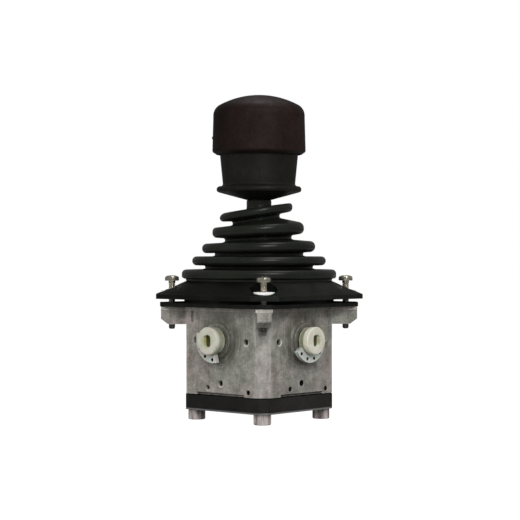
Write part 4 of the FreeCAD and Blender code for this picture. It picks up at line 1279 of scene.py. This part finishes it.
@dataclass
class Bellows:
    """The rubber bellows: two pieces that meet in a groove."""

    folds: tuple[Fold, ...] = (
        Fold(21.6, 52.6, 4.9, 9.2, 14.0, 48.2, 1.0),
        Fold(26.9, 41.9, 5.9, 2.6, 19.6, 36.9),
        Fold(33.2, 31.8, 5.9, 1.1, 26.0, 27.7),
        Fold(39.2, 24.1, 5.3, 0.0, 31.6, 20.2),
        Fold(45.3, 16.5, 5.0, 0.0, 42.9, 13.0),
    )
    wall: float = 1.6
    fold_softness: float = 0.97
    lining_inset: float = 1.5
    lining_round: float = 0.8
    groove_half: float = 1.2
    groove_round: float = 1.1
    split: int = 2
    bend_low: float = 20.2
    bend_high: float = 41.0
    level_fold: int = 3
    collar_radius: float = 7.3
    collar_bore: float = 5.3
    collar_top: float = 59.65
    collar_foot: float = 53.9
    collar_wall: float = 1.9
    seat: float = 12.5
    seat_rise: float = 0.6
    foot_radius: float = 38.2
    foot_wall: float = 1.5
    foot_end: float = 3.0
    slump_azimuth: float = 42.0
    slump_shift: float = -1.7
    seam_clearance: float = 0.2

    def lean(self, index: int) -> float:
        """The lean of the groove under a fold, none where the slump doesn't reach."""
        return self.folds[index].lean if index + 1 < self.level_fold else 0.0

    def fold_skin(self, index: int) -> list[Corner]:
        """The outside corners of a fold's rim.

        Args:
            index: The fold's number.

        Returns:
            Its corners from the top down.
        """
        fold = self.folds[index]
        half = fold.thickness / 2
        soft = half * self.fold_softness
        return [Corner(fold.radius, fold.height + half, soft, fold.lean + fold.twist),
                Corner(fold.radius, fold.height - half, soft, fold.lean - fold.twist)]

    def groove_skin(self, index: int) -> list[Corner]:
        """The outside corners of the groove under a fold.

        Args:
            index: The fold's number.

        Returns:
            Its corners from the top down.
        """
        fold = self.folds[index]
        return [Corner(fold.groove_radius, fold.groove_height + half, self.groove_round, self.lean(index))
                for half in (self.groove_half, -self.groove_half)]

    def seam(self, inset: float = 0.0) -> Corner:
        """The corner of the seam between the two pieces, which may be set in by the wall."""
        fold = self.folds[self.split]
        return Corner(fold.groove_radius - inset, fold.groove_height, 0.0, self.lean(self.split))

    def lining(self, indices: Sequence[int]) -> list[Corner]:
        """The inner surface behind some folds and the grooves between them.

        Args:
            indices: The folds' numbers.

        Returns:
            Its corners from the bottom up.
        """
        corners = []
        for index in indices:
            fold = self.folds[index]
            radius = fold.radius - self.wall - self.lining_inset
            corners.append(Corner(radius, fold.height, self.lining_round, fold.lean))
            corners.append(Corner(fold.groove_radius - self.wall, fold.groove_height, self.lining_round,
                                  self.lean(index)))
        return corners[-2::-1]

    def upper_outline(self) -> Outline:
        """The closed outline of the upper piece.

        Returns:
            The rounded outline.
        """
        skin = [Corner(self.collar_bore, self.collar_top), Corner(self.collar_radius, self.collar_top, 0.4),
                Corner(self.collar_radius, self.collar_foot, 1.2)]
        upper = range(self.split + 1)
        for index in upper:
            skin += self.fold_skin(index) + self.groove_skin(index)
        skin[-1] = self.seam()
        inner = [self.seam(self.wall), *self.lining(upper),
                 Corner(self.collar_bore, self.collar_foot - self.collar_wall, 0.5)]
        return rounded_outline(skin + inner, 7, True)

    def lower_outline(self) -> Outline:
        """The closed outline of the lower piece.

        Returns:
            The rounded outline.
        """
        skin = [self.seam(), self.groove_skin(self.split)[1]]
        lower = range(self.split + 1, len(self.folds))
        for index in lower[:-1]:
            skin += self.fold_skin(index) + self.groove_skin(index)
        skin += self.fold_skin(lower[-1])
        last = self.folds[-1]
        foot_inner = self.foot_radius - self.foot_wall
        foot = [Corner(last.groove_radius, last.groove_height + self.seat_rise, 0.4),
                Corner(last.groove_radius, self.seat),
                Corner(self.foot_radius, self.seat, 0.2), Corner(self.foot_radius, self.foot_end, 0.4),
                Corner(foot_inner, self.foot_end, 0.4), Corner(foot_inner, self.seat, 0.8)]
        return rounded_outline(skin + foot + self.lining(lower) + [self.seam(self.wall)], 7, True)

    def build(self) -> None:
        """Makes the two pieces."""
        options = {
            "azimuth": math.radians(self.slump_azimuth),
            "shift_per_lean": self.slump_shift * MM / math.radians(self.folds[0].lean),
        }
        fold = self.folds[self.split]
        margin = fold.groove_radius * math.sin(math.radians(self.lean(self.split))) + self.seam_clearance
        lower = turned_mesh(self.lower_outline(), BELLOWS_RUBBER, 160, **options)
        piece = add_piece("bellows_lower", lower, BELLOWS_RUBBER, None, ["bellows"])
        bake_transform(piece)
        upper = turned_mesh(self.upper_outline(), BELLOWS_RUBBER, 160, **options)
        piece = add_piece("bellows_upper", upper, BELLOWS_RUBBER, None)
        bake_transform(piece)


@dataclass
class PanelMount:
    """The clamp flange, gasket plate, seal, screws and washers."""

    spacing: float = 72.2
    head_underside: float = 12.5
    head_height: float = 3.1
    head_radius: float = 4.1
    shank_radius: float = 2.0
    plain_shank: float = 1.4
    core_drop: float = 1.7
    thread_drop: float = 1.9
    tip: float = -15.7
    thread_pitch: float = 0.7
    thread_ridge: float = 0.28
    cross_arm: float = 2.3
    cross_half: float = 0.5
    cross_inner: float = 0.75
    cross_depth: float = 1.8
    cross_taper: float = 0.35
    washer_floor: float = 4.9
    washer_radius: float = 6.2
    washer_bore: float = 2.2
    washer_thickness: float = 2.0

    def screw_outline(self) -> Outline:
        """A pan head on a shank whose core leaves room for the thread.

        Returns:
            The rounded outline.
        """
        low = self.head_underside
        high = low + self.head_height
        core = self.shank_radius - self.thread_ridge
        return rounded_outline([
            Corner(0, high), Corner(2.2, high - 0.06, 3.0), Corner(self.head_radius, high - 0.75, 1.2),
            Corner(self.head_radius, low, 0.15), Corner(self.shank_radius, low, 0.2),
            Corner(self.shank_radius, low - self.plain_shank), Corner(core, low - self.core_drop),
            Corner(core, self.tip + 0.5), Corner(core - 0.5, self.tip), Corner(0, self.tip),
        ], 6)

    def cross(self) -> list[tuple[float, float]]:
        """The cross recess in plan.

        Returns:
            Its outline, anticlockwise.
        """
        arm, half, inner = self.cross_arm, self.cross_half, self.cross_inner
        points = []
        for quarter in range(4):
            turn = Matrix.Rotation(math.radians(90 * quarter), 2)
            points += [tuple(turn @ Vector(point)) for point in ((arm, -half), (arm, half), (inner, inner))]
        return points

    def build(self) -> None:
        """Makes the screws and washers and dresses the flange and plates."""
        high = self.head_underside + self.head_height
        screw = turned_mesh(self.screw_outline(), PANEL_SCREW_PLATE, 48)
        recess = prism_mesh(self.cross(), high - self.cross_depth, high + 0.3, self.cross_taper)
        screw = TREES.grow(
            cut_mesh(screw, recess), TREES.thread, PANEL_SCREW_PLATE, radius=self.shank_radius * MM,
            pitch=self.thread_pitch * MM, low=(self.tip + 0.8) * MM,
            high=(self.head_underside - self.thread_drop) * MM, ridge=self.thread_ridge * MM)
        screws = at_four_corners(screw, self.spacing, 4, PANEL_SCREW_PLATE)
        add_piece("panel_screw_set", screws, PANEL_SCREW_PLATE, Body.ROOT, ["panel_screws"])
        low = self.washer_floor
        top = low + self.washer_thickness
        washer = turned_mesh(rounded_outline([
            Corner(self.washer_bore, low, 0.1), Corner(self.washer_radius, low, 0.15),
            Corner(self.washer_radius, top, 0.3), Corner(self.washer_bore, top, 0.15),
        ], 4, True), WASHER_NYLON, 64)
        washers = at_four_corners(washer, self.spacing, 2, WASHER_NYLON)
        add_piece("panel_washer_set", washers, WASHER_NYLON, Body.ROOT, ["panel_washers"])
        dress("clamp_flange", FLANGE_PLASTIC, 0.7, 3)
        dress("gasket_plate", SEAL_RUBBER, 0.3)
        dress("panel_seal", SEAL_RUBBER)


@dataclass
class Housing:
    """The casting with its bearings and the base under it."""

    base_spacing: float = 51.6
    head_radius: float = 5.0
    head_low: float = -68.6
    head_high: float = -62.6
    shank_radius: float = 3.0
    shank_end: float = -42.6
    knurl_depth: float = 0.22
    hexagon: float = 5.0
    hexagon_depth: float = 3.0

    def socket_screw(self) -> Mesh:
        """A socket head screw with a knurled head, its socket below.

        Returns:
            The mesh at the origin.
        """
        low, high, radius = self.head_low, self.head_high, self.head_radius
        outline = rounded_outline([
            Corner(0, low), Corner(radius - 0.4, low, 0.2), Corner(radius, low + 0.5, 0.2),
            Corner(radius, low + 0.9), Corner(radius, high - 0.5), Corner(radius, high - 0.2, 0.1),
            Corner(radius - 0.2, high), Corner(self.shank_radius, high),
            Corner(self.shank_radius, self.shank_end + 0.5), Corner(self.shank_radius - 0.5, self.shank_end),
            Corner(0, self.shank_end),
        ], 4)
        mesh = turned_mesh(outline, KNURLED_ZINC, 108, knurl_depth=self.knurl_depth * MM,
                           knurl_low=(low + 0.7) * MM, knurl_high=(high - 0.3) * MM)
        reach = self.hexagon / 2 / math.cos(math.radians(30))
        angles = [math.radians(60 * side) for side in range(6)]
        corners = [(reach * math.cos(angle), reach * math.sin(angle)) for angle in angles]
        return cut_mesh(mesh, prism_mesh(corners, low - 0.5, low + self.hexagon_depth))

    def build(self) -> None:
        """Makes the base screws and dresses the casting, the bearings and the base."""
        screws = at_four_corners(self.socket_screw(), self.base_spacing, 7, KNURLED_ZINC)
        add_piece("base_screw_set", screws, KNURLED_ZINC, Body.ROOT, ["base_screws"])
        dress("housing", CASTING, 0.35)
        dress("base_cover", COVER_PLASTIC, 0.5)
        dress("base_plate", MILLED_ALUMINIUM, 0.15)
        dress("base_seal", SEAL_RUBBER)
        dress("bearing_bushes", BEARING_BRASS)
        dress("shaft_seals", SEAL_RUBBER)
        dress("bearing_caps", COVER_PLASTIC)
        dress("detent_post", ZINC_PLATE)


@dataclass
class Mechanism:
    """The gimbal, the bow, their trunnions, springs and sensor hubs."""

    finishes: dict[str, Finish] = field(default_factory=lambda: {
        "gimbal_frame": MILLED_ALUMINIUM, "swivel_block": MILLED_ALUMINIUM, "bow": MILLED_ALUMINIUM,
        "gimbal_trunnion_long": TRUNNION_STEEL, "gimbal_trunnion_short": TRUNNION_STEEL,
        "bow_trunnion_long": TRUNNION_STEEL, "bow_trunnion_short": TRUNNION_STEEL,
        "pivot_pins": NICKEL_PLATE, "gimbal_spring": ZINC_PLATE, "bow_spring": ZINC_PLATE,
    })

    def build(self) -> None:
        """Dresses the inner pieces and the two hubs."""
        for node, finish in self.finishes.items():
            dress(node, finish)
        dress("gimbal_hub", RIGHT_HUB, 0.6, 3)
        dress("bow_hub", FRONT_HUB, 0.6, 3)


@dataclass(frozen=True)
class Lamp:
    """A soft light: its place round the object, its size, its power, and whether gloss mirrors it."""

    name: str
    azimuth: float
    distance: float
    height: float
    size: tuple[float, float]
    power: float
    gleams: bool = True


@dataclass
class Studio:
    """The pale floor, the soft lights and the camera."""

    azimuth: float = 42.0
    distance: float = 998.75
    camera_height: float = 30.4
    aim_height: float = 24.56
    aim_right: float = 0.59
    lens: float = 117.7
    sensor: float = 36.0
    floor: float = -68.6
    floor_half: float = 4.0
    floor_glow: float = 1.0
    floor_albedo: float = 0.2
    sky_glow: float = 0.12
    sky_gleam: float = 0.16
    lit_height: float = 20.0
    lamps: tuple[Lamp, ...] = (
        Lamp("key_softbox", 42, 800, 340, (500, 500), 4.7, False),
        Lamp("left_softbox", -30, 800, 140, (600, 600), 3.9, False),
        Lamp("right_softbox", 120, 800, 400, (600, 600), 3.4, False),
        Lamp("front_gleam", 62, 800, 420, (260, 140), 1.3),
        Lamp("high_softbox", 125, 230, 900, (300, 300), 0.8),
        Lamp("back_softbox", 222, 300, 800, (160, 160), 0.8),
        Lamp("back_fill", 222, 850, 120, (600, 600), 4.0, False),
    )

    def around(self, azimuth: float, distance: float, height: float) -> Vector:
        """Gives a point round the object, from 0 degrees before the -Y face to 90 before the +X face."""
        angle = math.radians(azimuth)
        return Vector((math.sin(angle) * distance, -math.cos(angle) * distance, height)) * MM

    def aim(self, item: bpy.types.Object, target: Vector) -> None:
        """Turns a light or the camera towards a point."""
        item.rotation_euler = (target - item.location).to_track_quat("-Z", "Y").to_euler()

    def light(self, lamp: Lamp) -> None:
        """Adds a soft area light that faces the object.

        Args:
            lamp: What it is like.
        """
        data = bpy.data.lights.new(lamp.name, "AREA")
        data.shape = "RECTANGLE"
        data.size = lamp.size[0] * MM
        data.size_y = lamp.size[1] * MM
        data.energy = lamp.power
        made = linked(lamp.name, data)
        made.visible_glossy = lamp.gleams
        made.location = self.around(lamp.azimuth, lamp.distance, lamp.height)
        self.aim(made, Vector((0, 0, self.lit_height * MM)))

    def sky(self) -> None:
        """A white surround for the camera that lights the object less than it shows."""
        world = bpy.data.worlds.new("studio")
        world.use_nodes = True
        world.node_tree.nodes.clear()
        writer = TreeWriter(world.node_tree)
        path = writer.add("ShaderNodeLightPath").outputs
        strength = writer.fade(path["Is Glossy Ray"], 0.0, 1.0, self.sky_glow, self.sky_gleam)
        given, seen = (writer.get("ShaderNodeBackground", {"Color": (*WHITE, 1.0), "Strength": glow})
                       for glow in (strength, 1.0))
        mix = writer.get("ShaderNodeMixShader", {0: path["Is Camera Ray"], 1: given, 2: seen})
        writer.add("ShaderNodeOutputWorld", {"Surface": mix})
        bpy.context.scene.world = world

    def ground(self) -> None:
        """A wide pale floor under the screw heads."""
        half, level = self.floor_half, self.floor * MM
        mesh = bpy.data.meshes.new("studio_floor")
        mesh.from_pydata([(-half, -half, level), (half, -half, level), (half, half, level),
                          (-half, half, level)], [], [(0, 1, 2, 3)])
        pale = bpy.data.materials.new("studio_floor")
        pale.use_nodes = True
        pale.node_tree.nodes.clear()
        writer = TreeWriter(pale.node_tree)
        path = writer.add("ShaderNodeLightPath").outputs
        albedo = self.floor_albedo
        shader = writer.get("ShaderNodeBsdfPrincipled", {
            "Base Color": (albedo, albedo, albedo, 1.0), "Roughness": 0.9, "Specular IOR Level": 0.0,
            "Emission Color": (*WHITE, 1.0),
            "Emission Strength": writer.product(path["Is Camera Ray"], self.floor_glow)})
        writer.add("ShaderNodeOutputMaterial", {"Surface": shader})
        mesh.materials.append(pale)
        floor = linked("studio_floor", mesh)

    def camera(self) -> None:
        """The camera at the photograph's angle."""
        data = bpy.data.cameras.new("camera")
        data.sensor_fit = "HORIZONTAL"
        data.sensor_width = self.sensor
        data.lens = self.lens
        data.clip_start = 0.01
        data.clip_end = 20.0
        camera = linked("camera", data)
        angle = math.radians(self.azimuth)
        right = Vector((math.cos(angle), math.sin(angle), 0)) * self.aim_right * MM
        camera.location = self.around(self.azimuth, self.distance, self.camera_height) + right
        self.aim(camera, Vector((0, 0, self.aim_height * MM)) + right)
        bpy.context.scene.camera = camera

    def build(self) -> None:
        """Sets up the whole studio."""
        self.camera()
        self.ground()
        self.sky()
        for lamp in self.lamps:
            self.light(lamp)
        bpy.context.scene.view_settings.view_transform = "Standard"


def write_sizes() -> None:
    bpy.context.view_layer.update()


def main() -> None:
    """Builds the sub-assemblies and the studio in order."""
    logging.basicConfig(level=logging.INFO, format="%(message)s")
    for part in (Knob(), Bellows(), PanelMount(), Housing(), Mechanism(), Studio()):
        part.build()
        log.info("%s is done", type(part).__name__)
    write_sizes()


if __name__ == "__main__":
    main()
